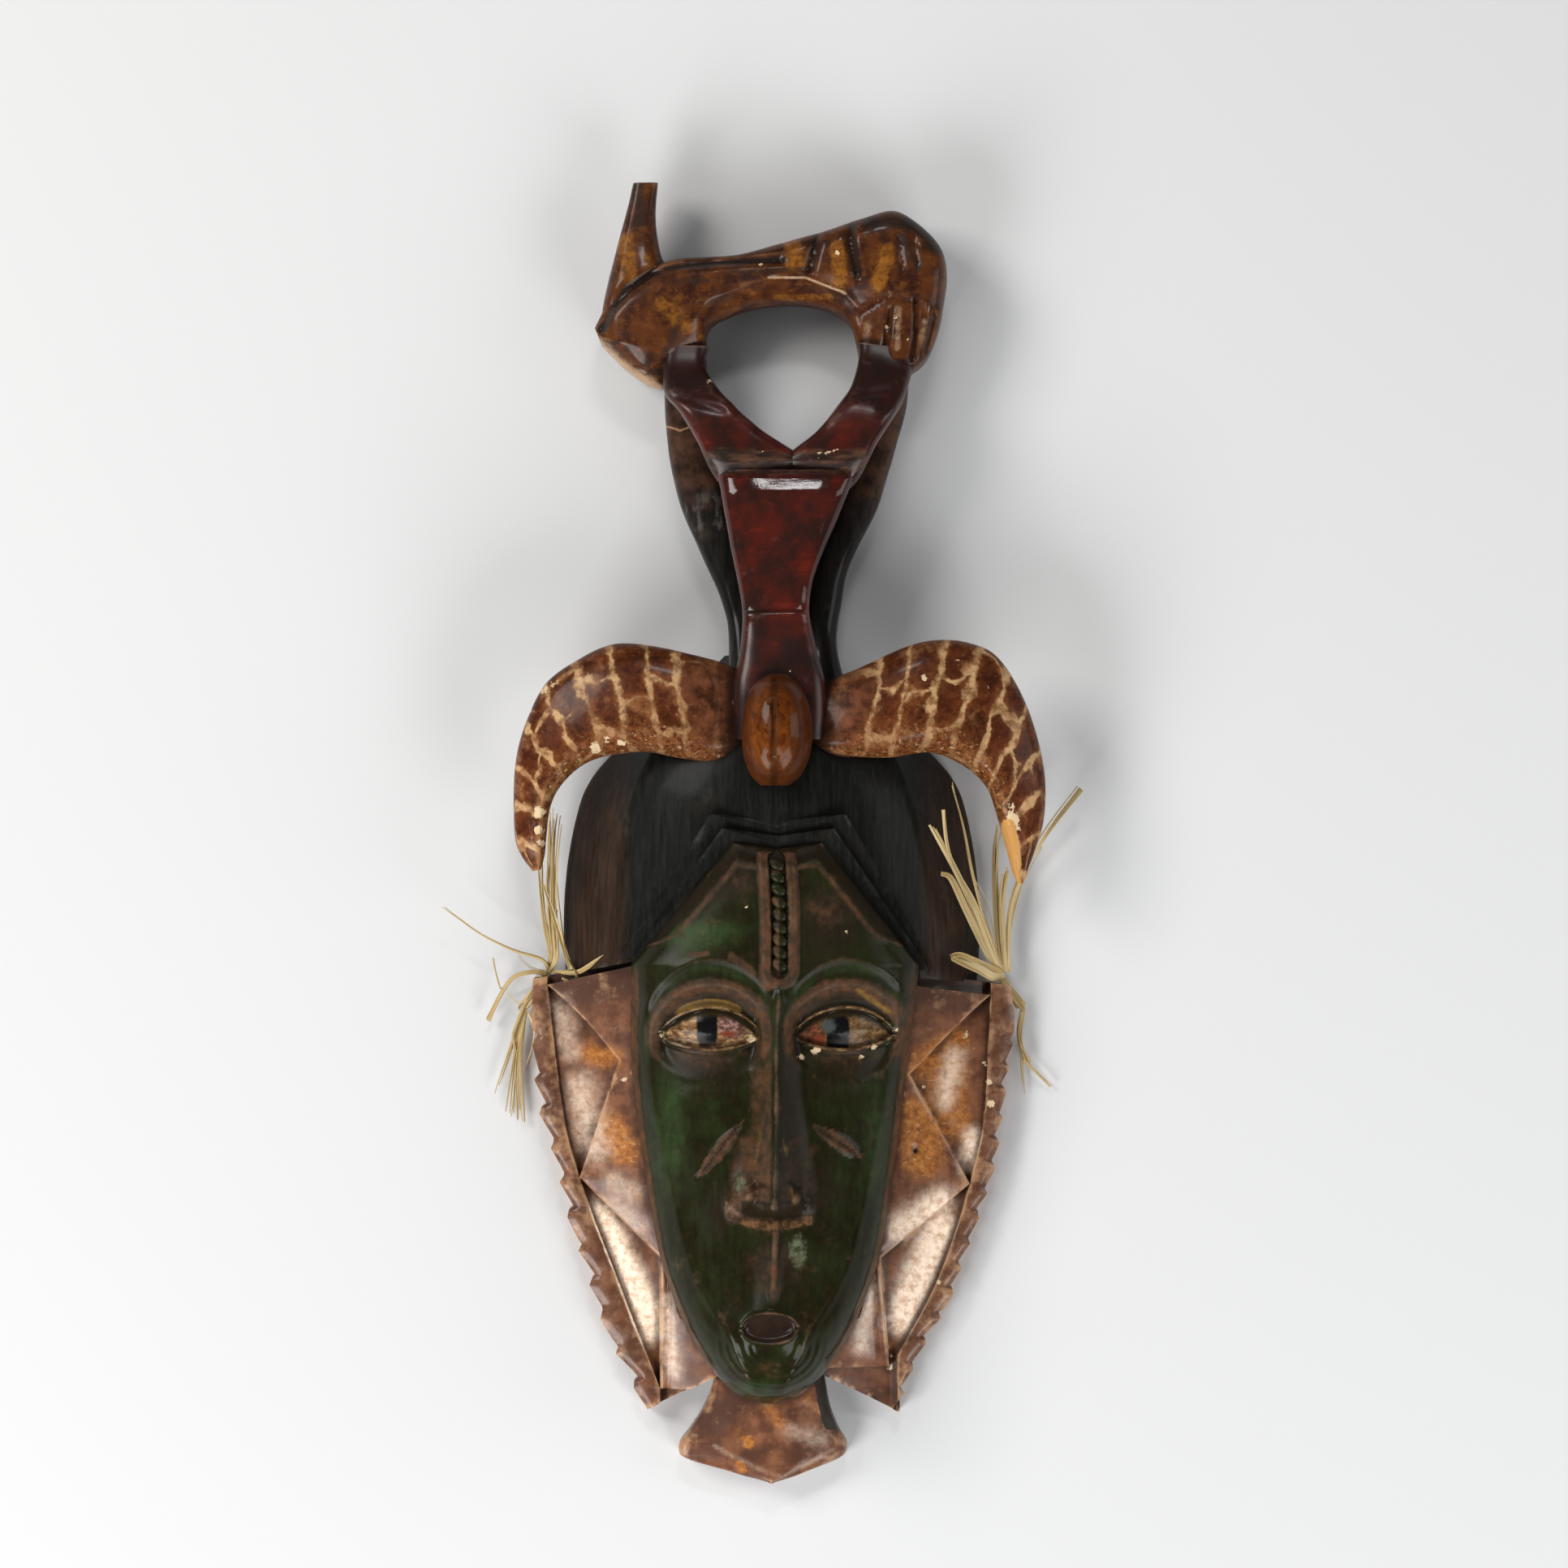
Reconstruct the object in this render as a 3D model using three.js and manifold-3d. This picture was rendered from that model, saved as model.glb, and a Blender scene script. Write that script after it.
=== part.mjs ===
// A carved and painted wooden face mask with a tall openwork crest, lying on its back.
// Millimetres. +X is to the right of the face, +Y runs from the chin to the crest, +Z is out of the face.
// z = 0 is the plane of the back rim, and the origin is under the middle of the outline.
import * as THREE from "three";
import { mergeVertices } from "three/addons/utils/BufferGeometryUtils.js";
import Module from "manifold-3d";

const wasm = await Module();
wasm.setup();

// Driving dimensions
const CHIN_Y = -239; // lower end of the face
const HAIRLINE_Y = -3; // the two peaks of the hairline
const TEMPLE_Y = -54; // where the slanted hairline meets the collar
const COLLAR_TOP_Y = -61;
const BIB_TIP_Y = -275;
const NOSE_TOP_Y = -62;
const NOSE_FOOT_Y = -158.5;
const EYE = { x: 28, y: -82.5, half: 20, lift: 10, drop: 5.5 };
const MOUTH = { x: -2.3, y: -205, half: 11, lift: 5, drop: 5 };
const HAIR_BAND_DROP = 2.2; // each hairline band lies this much lower than the one inside it
const STRAND_RADIUS = 1.3;

// Value at s on a smooth curve through [position, value] knots, with no overshoot (monotone cubic).
function along(knots, s) {
  const n = knots.length;
  if (s <= knots[0][0]) return knots[0][1];
  if (s >= knots[n - 1][0]) return knots[n - 1][1];
  let i = 0;
  while (s > knots[i + 1][0]) i += 1;
  const slope = (k) => (knots[k + 1][1] - knots[k][1]) / (knots[k + 1][0] - knots[k][0]);
  const tangent = (k) => {
    if (k === 0) return slope(0);
    if (k === n - 1) return slope(n - 2);
    const before = slope(k - 1);
    const after = slope(k);
    return before * after <= 0 ? 0 : (2 * before * after) / (before + after);
  };
  const span = knots[i + 1][0] - knots[i][0];
  const t = (s - knots[i][0]) / span;
  return (
    knots[i][1] * (2 * t ** 3 - 3 * t ** 2 + 1) +
    tangent(i) * span * (t ** 3 - 2 * t ** 2 + t) +
    knots[i + 1][1] * (3 * t ** 2 - 2 * t ** 3) +
    tangent(i + 1) * span * (t ** 3 - t ** 2)
  );
}

// 0 below a, 1 above b and a smooth rise between them. With a > b it falls instead.
function rise(a, b, s) {
  const t = Math.min(1, Math.max(0, (s - a) / (b - a)));
  return t * t * (3 - 2 * t);
}

const bump = (distance, reach) => Math.exp(-((distance / reach) ** 2));
const evenly = (count) => Array.from({ length: count + 1 }, (_, i) => i / count);

// A closed surface through rings of points, each end closed by a fan, as a solid that faces out.
function skin(rings) {
  const count = rings[0].length;
  const points = rings.flat();
  const faces = [];
  for (let r = 0; r + 1 < rings.length; r += 1) {
    for (let i = 0; i < count; i += 1) {
      const next = (i + 1) % count;
      const a = r * count + i;
      const b = r * count + next;
      faces.push(a, b, b + count, a, b + count, a + count);
    }
  }
  for (const [ring, start, turned] of [
    [rings[0], 0, true],
    [rings.at(-1), (rings.length - 1) * count, false],
  ]) {
    const middle = ring.reduce((sum, p) => sum.add(p), new THREE.Vector3()).divideScalar(count);
    points.push(middle);
    for (let i = 0; i < count; i += 1) {
      const a = start + i;
      const b = start + ((i + 1) % count);
      faces.push(points.length - 1, ...(turned ? [b, a] : [a, b]));
    }
  }
  const geometry = new THREE.BufferGeometry().setFromPoints(points).setIndex(faces);
  return solid(geometry);
}

// A three.js geometry as a solid for cutting and joining.
function solid(geometry) {
  for (const name of ["normal", "uv"]) geometry.deleteAttribute(name);
  const merged = mergeVertices(geometry, 1e-4);
  const vertProperties = new Float32Array(merged.attributes.position.array);
  const triVerts = new Uint32Array(merged.index.array);
  const make = () => new wasm.Manifold(new wasm.Mesh({ numProp: 3, vertProperties, triVerts }));
  const made = make();
  if (made.volume() > 0) return made;
  for (let i = 0; i < triVerts.length; i += 3) {
    [triVerts[i + 1], triVerts[i + 2]] = [triVerts[i + 2], triVerts[i + 1]];
  }
  return make();
}

const join = (solids) => solids.reduce((all, one) => all.add(one));

// Face

const faceCentre = [[CHIN_Y, -2.6], [-176, -2.2], [-110, -2.6], [TEMPLE_Y, 0], [HAIRLINE_Y, 1.3]];
const faceHalfWidth = [
  [CHIN_Y, 5], [-237, 12], [-233, 17.5], [-226.4, 23.4], [-213.8, 31.9], [-195.7, 40.3],
  [-176.2, 46.6], [-145.4, 52], [-109.6, 56.9], [-80, 59.3], [TEMPLE_Y, 60.1],
];
const HAIRLINE_HALF_WIDTH = 18.6;
const HAIRLINE_DIP = 6.5; // the hairline dips this much between its peaks
const edgeHeight = [
  [CHIN_Y, 20], [-225, 24], [-180, 26], [-110, 29], [-80, 34], [TEMPLE_Y, 43], [HAIRLINE_Y, 60],
];
const middleHeight = [
  [CHIN_Y, 32], [-234, 46], [-226, 54], [-205, 60], [-170, 60], [-130, 61], [-90, 62], [-60, 67],
  [-30, 67], [HAIRLINE_Y, 63],
];
// The carver's middle line wanders a little: brow strip, nose, mouth and chin are not quite in line.
const featureLine = [
  [CHIN_Y, -3], [MOUTH.y, MOUTH.x], [NOSE_FOOT_Y, -0.6], [-130, 0.6], [-85, 0.8], [NOSE_TOP_Y, 2], [-35, 2],
  [-5, 0.5],
];
const noseHeight = [[-158, 22], [-150, 19.5], [-130, 14], [-100, 9], [-75, 5.5], [NOSE_TOP_Y, 2]];
const noseHalfWidth = [[NOSE_FOOT_Y, 14], [-155, 15], [-147, 14], [-130, 11], [-100, 8], [NOSE_TOP_Y, 5]];

function halfWidthOfFace(y) {
  if (y <= TEMPLE_Y) return along(faceHalfWidth, y);
  const up = (y - TEMPLE_Y) / (HAIRLINE_Y - TEMPLE_Y);
  return THREE.MathUtils.lerp(along(faceHalfWidth, TEMPLE_Y), HAIRLINE_HALF_WIDTH, up);
}

// The nose: a narrow crest with hollow flanks, wings at its foot and a flat underside.
function nose(x, y) {
  const foot = rise(NOSE_FOOT_Y - 1.2, NOSE_FOOT_Y + 0.6, y);
  const top = rise(NOSE_TOP_Y + 3, NOSE_TOP_Y - 8, y);
  const across = Math.min(1, Math.abs(x) / along(noseHalfWidth, y));
  const flank = along(noseHeight, y) * (1 - across) ** 1.15;
  const crest = 1.4 * bump(x, 1.3);
  const wing = 10 * bump(Math.abs(x) - 9.5, 4) * bump(y - NOSE_FOOT_Y - 4, 6.5);
  return foot * (top * (Math.max(flank, wing) + crest));
}

// How far an almond opening has opened at a distance from its middle, from 0 to 1.
const opening = (distance, { half }) => Math.max(0, 1 - (distance / half) ** 2) ** 0.8;

// Distance up or down out of an almond opening, negative inside it.
const outOf = (dx, dy, shape) =>
  Math.max(dy - shape.lift * opening(dx, shape) - 1, -shape.drop * opening(dx, shape) - 0.8 - dy);

// An eye: brow step, socket, swelling lids, the almond opening and its rims. dx is outwards, dy is up.
function eye(dx, dy) {
  const ring = Math.hypot(dx / 28, (dy + 6) / 33);
  const lower = rise(-22, -4, dy);
  const brow = -1.6 * rise(1.03, 0.98, ring) - 1.8 * rise(0.98, 0.78, ring);
  const socket = -4.2 * rise(0.79, 0.7, ring);
  const swell = Math.max(0, 1 - (dx / 24) ** 2 - ((dy - 1) / 17) ** 2) ** 0.5;
  const outside = outOf(dx, dy, EYE);
  const length = rise(EYE.half + 2, EYE.half - 1, Math.abs(dx));
  const ball = -2 * rise(0.1, -1, outside);
  const rims = 1.1 * bump(outside - 0.6, 0.9);
  return lower * (brow + socket) + 6.4 * swell + length * (ball + rims);
}

// The brow strip: a raised U-shaped border round a row of beads.
const STRIP = { half: 6, topY: -9, footY: -58, beads: 8 };
function strip(x, y) {
  const out = y < STRIP.footY ? Math.hypot(x, y - STRIP.footY) : Math.abs(x);
  return rise(HAIRLINE_Y - 1, STRIP.topY, y) * 1.8 * bump(out - STRIP.half, 1.7);
}

function mouth(x, y) {
  const [dx, dy] = [x - MOUTH.x, y - MOUTH.y];
  const muzzle = 5.5 * rise(1.75, 0.8, Math.hypot(dx / MOUTH.half, dy / (MOUTH.lift * 1.45)));
  const outside = outOf(dx, dy, MOUTH);
  const width = rise(MOUTH.half + 2, MOUTH.half - 1, Math.abs(dx));
  const lips = width * (1.2 * bump(outside - 0.8, 1.1) - 3 * rise(0.2, -2.6, outside));
  const chin = 2.5 * bump(Math.hypot(dx / 1.25, dy + 17), 12);
  return muzzle + lips + chin;
}

function faceSurface(x, y) {
  const across = Math.min(1, Math.abs(x - along(faceCentre, y)) / halfWidthOfFace(y));
  const low = along(edgeHeight, y);
  const body = low + (along(middleHeight, y) - low) * Math.sqrt(Math.max(0, 1 - across ** 2.7));
  const mid = x - along(featureLine, y);
  const side = mid < 0 ? -1 : 1;
  const fade = rise(1, 0.9, across);
  const philtrum = 1.9 * bump(mid - 1.2, 1.5) * rise(-196, -190, y) * rise(-161, -166, y);
  const hollows = -2 * bump(Math.abs(mid) - 8, 5) * bump(y + 181, 16);
  const eyes = eye(side * mid - EYE.x, y - EYE.y) * rise(2, 5, Math.abs(mid));
  return body + fade * (eyes + strip(mid, y) + philtrum + hollows + mouth(x, y)) + nose(mid, y);
}

// The grid of the face follows its features. A row through an eye or the mouth parts into their two edges, and
// the columns next to the middle line keep their distance from it.
const around = (y, levels) => levels.map((level) => y + level);
const FACE_ROWS = [
  ...[CHIN_Y, -238, -235, -231, -226, -220],
  ...around(MOUTH.y, [-10, -3.4, -2, 0.4, 3, 4.6, 9, 14]),
  ...[-184, -175, -167],
  ...around(NOSE_FOOT_Y, [-4, -1.2, 0.6, 6, 12]),
  ...[-139, -131, -123, -114, -107],
  ...around(EYE.y, [-17, -11, -6.5, -3.2, -2, -1, 0.5, 2, 3, 4.2, 7.5, 11.5, 16, 20]),
  ...[-58, TEMPLE_Y, -47, -39, -31, -23, -15, -8, HAIRLINE_Y],
];
const NEAR_COLUMNS = [0, 1.8, 4.2, 6.2, 9, 13.5]; // mm from the middle line, where the face is wide
const FAR_COLUMNS = [0.15, 0.31, 0.48, 0.65, 0.82, 0.94, 1]; // the rest of the way to the edge
const FULL_WIDTH = 30; // the near columns close up where half the face is narrower than this

// Moves a level inside an opening so that the levels -2 and 3 lie on its lower and upper edges.
function parted(level, { lift, drop }, open, reach) {
  const [upper, lower] = [lift * open + 1, -drop * open - 0.8];
  if (level > 3) return upper + ((level - 3) * (reach - upper)) / (reach - 3);
  if (level < -2) return lower + ((level + 2) * (-reach - lower)) / (-reach + 2);
  return THREE.MathUtils.lerp(lower, upper, (level + 2) / 5);
}

function rowHeight(row, mid) {
  const [eyeLevel, mouthLevel] = [row - EYE.y, row - MOUTH.y];
  if (Math.abs(eyeLevel) < 22) return EYE.y + parted(eyeLevel, EYE, opening(Math.abs(mid) - EYE.x, EYE), 22);
  if (Math.abs(mouthLevel) < 13) return MOUTH.y + parted(mouthLevel, MOUTH, opening(mid, MOUTH), 13);
  return row;
}

const hairlineDip = (t, row) => HAIRLINE_DIP * (1 - Math.abs(t)) * rise(-40, HAIRLINE_Y, row);

// A closed slab from rows of top points down to the back plane.
function slab(tops) {
  return skin(
    tops.map((top) => {
      const [first, last] = [top[0], top.at(-1)];
      return [...top, new THREE.Vector3(last.x, last.y, 0), new THREE.Vector3(first.x, first.y, 0)];
    }),
  );
}

function face() {
  const tops = FACE_ROWS.map((row) => {
    const [centre, half, line] = [along(faceCentre, row), halfWidthOfFace(row), along(featureLine, row)];
    const squeeze = Math.min(1, half / FULL_WIDTH);
    const near = NEAR_COLUMNS.map((distance) => distance * squeeze);
    const side = (sign) => {
      const room = sign * (centre - line) + half;
      const far = FAR_COLUMNS.map((share) => THREE.MathUtils.lerp(near.at(-1), room, share));
      return [...near, ...far].map((distance) => sign * distance);
    };
    return [...side(-1).reverse(), ...side(1).slice(1)].map((mid) => {
      const x = line + mid;
      const y = rowHeight(row, mid) - hairlineDip((x - centre) / half, row);
      return new THREE.Vector3(x, y, faceSurface(x, y));
    });
  });
  return slab(tops);
}

// The beads of the brow strip, as rounded knobs half sunk in the face.
function beads() {
  const pitch = (STRIP.topY - STRIP.footY) / STRIP.beads;
  return evenly(STRIP.beads - 1).map((share) => {
    const y = THREE.MathUtils.lerp(STRIP.footY + pitch / 2, STRIP.topY - pitch / 2, share);
    const x = along(featureLine, y);
    const bead = new THREE.SphereGeometry(1, 6, 4);
    return solid(bead.scale(2.6, pitch * 0.47, 2.2).translate(x, y, faceSurface(x, y)));
  });
}

// A leaf-shaped cheek scar: two lips that meet at both ends.
const SCARS = [
  { from: [-16, -119], to: [-34, -144] },
  { from: [14.5, -120], to: [37, -135] },
];
const SCAR_HALF_WIDTH = 3.4;
function scar({ from, to }) {
  const [dx, dy] = [to[0] - from[0], to[1] - from[1]];
  const length = Math.hypot(dx, dy);
  return [-1, 1].map((lip) => {
    const path = [-1, -0.5, 0, 0.5, 1].map((t) => {
      const out = (lip * SCAR_HALF_WIDTH * (1 - t * t)) / length;
      const x = from[0] + (dx * (1 + t)) / 2 - dy * out;
      const y = from[1] + (dy * (1 + t)) / 2 + dx * out;
      return [x, y, faceSurface(x, y)];
    });
    return sweep({ path, width: [0.8, 2.2, 2.6, 2.2, 0.8], thick: [1, 3.2, 3.8, 3.2, 1], rings: 6, sides: 6 });
  });
}

// A hairline band: the upper outline of the face grown by one step, and one step lower.
const BAND_RISE = 6;
function hairlineBand(step) {
  const up = (y) => Math.min(1, Math.max(0, (y - TEMPLE_Y) / (HAIRLINE_Y - TEMPLE_Y)));
  const tops = [-62, TEMPLE_Y, -45, -36, -27, -18, -10, HAIRLINE_Y].map((row) => {
    const half = halfWidthOfFace(row) + step * (3.2 + 1.6 * up(row));
    return [-1, -0.5, 0, 0.5, 1].map((t) => {
      const x = along(faceCentre, row) + t * half;
      const y = row - hairlineDip(t, row) + step * BAND_RISE * up(row);
      return new THREE.Vector3(x, y, along(edgeHeight, row) + 1.5 * up(row) - step * HAIR_BAND_DROP);
    });
  });
  return slab(tops);
}

// Hair: a faceted dome from the collar to the crown.
const hairHalfWidth = [
  [-75, 86.5], [-59, 87.4], [-40, 88.5], [-27, 88.1], [-13, 86.8], [1, 84.5], [15, 81], [24, 76.5], [34, 68],
  [50, 51], [65, 31], [76, 20],
];
const facetHalfWidth = [[-75, 70], [-36, 66.8], [8, 59.7], [33, 51.2], [50, 37], [65, 22], [76, 14]];
const hairHeight = [[-75, 52], [-20, 55], [15, 56], [35, 54], [50, 49], [65, 40], [76, 26]];
const HAIR_CENTRE = -1.4;
function hair() {
  const rows = [-75, -59, -45, -30, -15, 0, 12, 20, 27, 34, 42, 50, 58, 65, 71, 76];
  return skin(
    rows.map((y) => {
      const [base, facet, top] = [hairHalfWidth, facetHalfWidth, hairHeight].map((knots) => along(knots, y));
      const half = [[base, 0], [base, 5], [facet, 0.67 * top], [facet * 0.42, 0.95 * top]];
      const right = half.map(([x, z]) => new THREE.Vector3(HAIR_CENTRE + x, y, z));
      const left = half.map(([x, z]) => new THREE.Vector3(HAIR_CENTRE - x, y, z)).reverse();
      return [...right, new THREE.Vector3(HAIR_CENTRE, y, top), ...left];
    }),
  );
}

// Collar

// Each wing of the collar has a saw-toothed rim outside a border line, and a zigzag ridge inside it. The ground
// between border and zigzag is cut down, and the facets between the zigzag and the face stand up.
const WINGS = {
  "-1": {
    edge: [
      [-244.2, 56], [-228.7, 62.6], [-214.2, 70.8], [-197.7, 76.7], [-181.5, 81.8], [-166, 87], [-147, 91.5],
      [-129.8, 96], [-114, 100.8], [-97.4, 102.5], [-80.6, 103.2], [COLLAR_TOP_Y, 102.6],
    ],
    border: [[-234.9, 48.8], [-186.8, 67.3], [-145.2, 82.8], [-120.8, 89.3], [-64.5, 96.5]],
    zigzag: [[96.5, -64.5], [65.9, -95.4], [82.8, -145.2], [48.8, -178.6], [48.8, -234.9]],
    teeth: 11,
    toothDepth: 3,
  },
  1: {
    edge: [
      [-244.2, 52.2], [-225.9, 59.1], [-212.1, 66], [-201.1, 72.9], [-178, 81.2], [-159.1, 87.7], [-141.5, 93.2],
      [-108.5, 98.1], [-77.8, 101.5], [COLLAR_TOP_Y, 99.9],
    ],
    border: [[-221.2, 51.9], [-188.2, 69.1], [-148, 82.5], [-119.1, 88.7], [-66.2, 91.4]],
    zigzag: [[91.4, -66.2], [57.1, -100.9], [82.5, -148], [45, -178.6], [48.5, -225.3]],
    teeth: 15,
    toothDepth: 2.2,
  },
};
const COLLAR_CENTRE = -1.3;
const TEETH_TOP_Y = -85;
const WING_TIP_Y = -245;
const LOWER_EDGE_SLOPE = 0.47; // radians, of the edge from a wing's tip up to the chin
const GROUND_DROP = 4;
const innerEdge = [[WING_TIP_Y, 15], [-213.8, 24], [-176, 38], [-110, 48], [COLLAR_TOP_Y, 50]];
const rootHeight = [[WING_TIP_Y, 15], [-229, 20], [-180, 25], [-110, 28], [-80, 31], [COLLAR_TOP_Y, 33]];
const rimHeight = [[WING_TIP_Y, 11], [-200, 13], [-100, 14], [COLLAR_TOP_Y, 14]];

function wing(side) {
  const { edge, border, zigzag, teeth, toothDepth } = WINGS[side];
  // Height of the uncut surface: it falls from the face to the border line.
  const height = (x, y) => {
    const q = (x - along(innerEdge, y)) / (along(border, y) - along(innerEdge, y));
    return THREE.MathUtils.lerp(along(rootHeight, y), along(rimHeight, y), Math.min(1, Math.max(0, q)));
  };
  const point = (x, y, z) => new THREE.Vector3(side * x, y, z);
  const strip = (rows, across) => skin(rows.map((y) => across(y)));

  const ground = strip([WING_TIP_Y, -220, -200, -180, -160, -140, -120, -100, -80, COLLAR_TOP_Y], (y) => {
    const [x0, x1] = [along(innerEdge, y), along(border, y) + 1];
    const top = [x0, (x0 + x1) / 2, x1].map((x) => point(x, y, height(x, y) - GROUND_DROP));
    return [...top, point(x1, y, 0), point(x0, y, 0)];
  });

  // Each tooth slants out and then steps back in.
  const pitch = (TEETH_TOP_Y - WING_TIP_Y) / teeth;
  const toothed = Array.from({ length: teeth }, (_, i) => WING_TIP_Y + i * pitch);
  const teethRows = toothed.flatMap((y) => [[y, 0], [y + pitch - 0.4, 1]]);
  const rimRows = [...teethRows, [TEETH_TOP_Y, 0], [COLLAR_TOP_Y, 0]];
  const rim = skin(
    rimRows.map(([y, out]) => {
      const x0 = along(border, y);
      const x1 = along(edge, y) - toothDepth * (1 - out) * (y < TEETH_TOP_Y ? 1 : 0);
      const z = along(rimHeight, y);
      const top = [point(x0, y, z), point((x0 + x1) / 2, y, z + 0.6), point(x1, y, z - 1.5)];
      return [...top, point(x1, y, 0), point(x0, y, 0)];
    }),
  );

  const facets = [0, 1, 3].map((i) => {
    const ridge = zigzag.slice(i, i === 1 ? i + 3 : i + 2);
    const inner = [ridge.at(-1), ridge[0]].map(([, y]) => [along(innerEdge, y), y]);
    const outline = [...ridge, ...inner];
    const ring = (lift) => outline.map(([x, y]) => point(x, y, lift ?? height(x, y) + 0.8));
    return skin([ring(0), ring()]);
  });

  // The lower edge runs up from the wing's tip to the chin.
  const below = new THREE.BoxGeometry(80, 60, 80);
  below.translate(0, -30, 0).rotateZ(-side * LOWER_EDGE_SLOPE).translate(side * edge[0][1], WING_TIP_Y, 0);
  return join([ground, rim, ...facets]).subtract(solid(below));
}

// Bib: the pointed plate under the chin.
const bibHalfWidth = [
  [BIB_TIP_Y, 1], [-271, 15], [-262.5, 35], [-259.5, 35.4], [-252, 31], [-240, 25.5], [-222, 21.5],
];
const bibSection = [
  [-1, 0], [-1, -3], [-0.94, -1.2], [-0.5, 1.2], [0, 2.2], [0.5, 1.2], [0.9, -1.2], [1, -5], [1.05, 0],
]; // across, and above or below the bib's height, with both ends on the back plane
function bib() {
  const rows = [BIB_TIP_Y, -273, -270, -266, -262.5, -260, -256, -250, -240, -230, -222];
  return skin(
    rows.map((y) => {
      const half = along(bibHalfWidth, y);
      const centre = THREE.MathUtils.lerp(-5.5, -2.6, rise(-262, -230, y)) + 4 * rise(-262, BIB_TIP_Y, y);
      const height = THREE.MathUtils.lerp(13, 19, rise(BIB_TIP_Y, -230, y));
      return bibSection.map(([t, lift], i) => {
        const onBack = i === 0 || i === bibSection.length - 1;
        return new THREE.Vector3(centre + t * half, y, onBack ? 0 : height + lift);
      });
    }),
  );
}

// Swept limbs

// A bar carried along a path, with its own width (across the path, level) and thickness (in z) at each station.
// section(angle) gives [across, up], each from -1 to 1.
function sweep({ path, width, thick, section = round(2.6), rings = 14, sides = 12 }) {
  const stations = (list) => list.map((value, i) => [i / (list.length - 1), value]);
  const centre = new THREE.CatmullRomCurve3(path.map((p) => new THREE.Vector3(...p)), false, "centripetal");
  return skin(
    evenly(rings).map((s) => {
      const middle = centre.getPoint(s);
      const heading = centre.getTangent(s);
      const across = new THREE.Vector3(-heading.y, heading.x, 0).normalize();
      const half = [along(stations(width), s) / 2, along(stations(thick), s) / 2];
      return Array.from({ length: sides }, (_, i) => {
        const [a, b] = section((2 * Math.PI * (i + 0.5)) / sides);
        return middle.clone().addScaledVector(across, a * half[0]).add(new THREE.Vector3(0, 0, b * half[1]));
      });
    }),
  );
}

// A superellipse: 2 is an ellipse, and more is squarer.
function round(power) {
  const squared = (value) => Math.sign(value) * Math.abs(value) ** (2 / power);
  return (angle) => [squared(Math.cos(angle)), squared(Math.sin(angle))];
}

// A bar between two edges. Each station is [xLeft, yLeft, xRight, yRight, zUnder, zTop].
function between({ stations, section = round(2.8), rings = 12, sides = 10 }) {
  const smooth = (s) => {
    const at = s * (stations.length - 1);
    const i = Math.min(Math.floor(at), stations.length - 2);
    const t = at - i;
    const [p0, p1, p2, p3] = [i - 1, i, i + 1, i + 2].map(
      (k) => stations[Math.min(stations.length - 1, Math.max(0, k))],
    );
    return p1.map((v, k) => {
      const [before, after] = [(p2[k] - p0[k]) / 2, (p3[k] - v) / 2];
      const [a, b] = [2 * v - 2 * p2[k] + before + after, -3 * v + 3 * p2[k] - 2 * before - after];
      return ((a * t + b) * t + before) * t + v;
    });
  };
  return skin(
    evenly(rings).map((s) => {
      const [x0, y0, x1, y1, under, top] = smooth(s);
      return Array.from({ length: sides }, (_, i) => {
        const [a, b] = section((2 * Math.PI * (i + 0.5)) / sides);
        const [u, w] = [(1 + a) / 2, (1 + b) / 2];
        return new THREE.Vector3(x0 + (x1 - x0) * u, y0 + (y1 - y0) * u, under + (top - under) * w);
      });
    }),
  );
}

// Horns, from root to tip. The left edge of each station is the outer edge of the left horn and the inner edge
// of the right one, so the crest of both leans to the middle.
const HORNS = {
  "-1": [
    [-6, 60, -8, 40, 36, 50], [-17.6, 70.3, -22.4, 30.2, 30, 58], [-35.6, 75.8, -36.3, 31.6, 30, 62],
    [-56.4, 79.9, -52.6, 34.7, 29, 62],
    [-69.6, 79.5, -64.5, 34, 28, 60], [-82.2, 73.7, -74.7, 31.9, 27, 58], [-96.1, 63.5, -83.2, 27.2, 27, 55],
    [-105, 45.5, -90.7, 19.4, 27, 52], [-109, 29.2, -94.4, 11.2, 27, 49], [-109.7, 9.8, -95.8, 1.3, 27, 46],
    [-108.3, -5.1, -96.5, -8.2, 28, 43], [-101.9, -15.3, -98.2, -14.6, 33, 38],
  ],
  1: [
    [10, 42, 8, 54, 36, 50], [22.8, 33.3, 18.8, 62.8, 30, 58], [35.7, 32.6, 35.7, 70.3, 30, 62],
    [49.3, 32.6, 54.1, 78.5, 29, 62],
    [62.9, 34.7, 67.7, 81.6, 28, 60], [73.8, 31.6, 81.3, 80.5, 27, 58], [82.6, 26.2, 92.8, 75.1, 27, 56],
    [88.8, 19.4, 103, 60.1, 27, 54], [92.2, 10.5, 109.2, 43.8, 27, 52], [94.5, 3, 113.2, 25.1, 27, 49],
    [96.9, -5.4, 112.9, 6.4, 27, 46], [99.6, -15.6, 108.5, -8.8, 29, 42], [102, -20.4, 104.1, -20.4, 34, 37],
  ],
};

// The crest line of a horn lies a third of the way across from its inner edge.
function hornSection(side) {
  return (angle) => {
    const [a, b] = round(2.3)(angle);
    return [a - side * 0.3 * Math.max(0, b) * (1 - a * a), b];
  };
}

const horn = (side) => between({ stations: HORNS[side], section: hornSection(side), rings: 13, sides: 10 });

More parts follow.
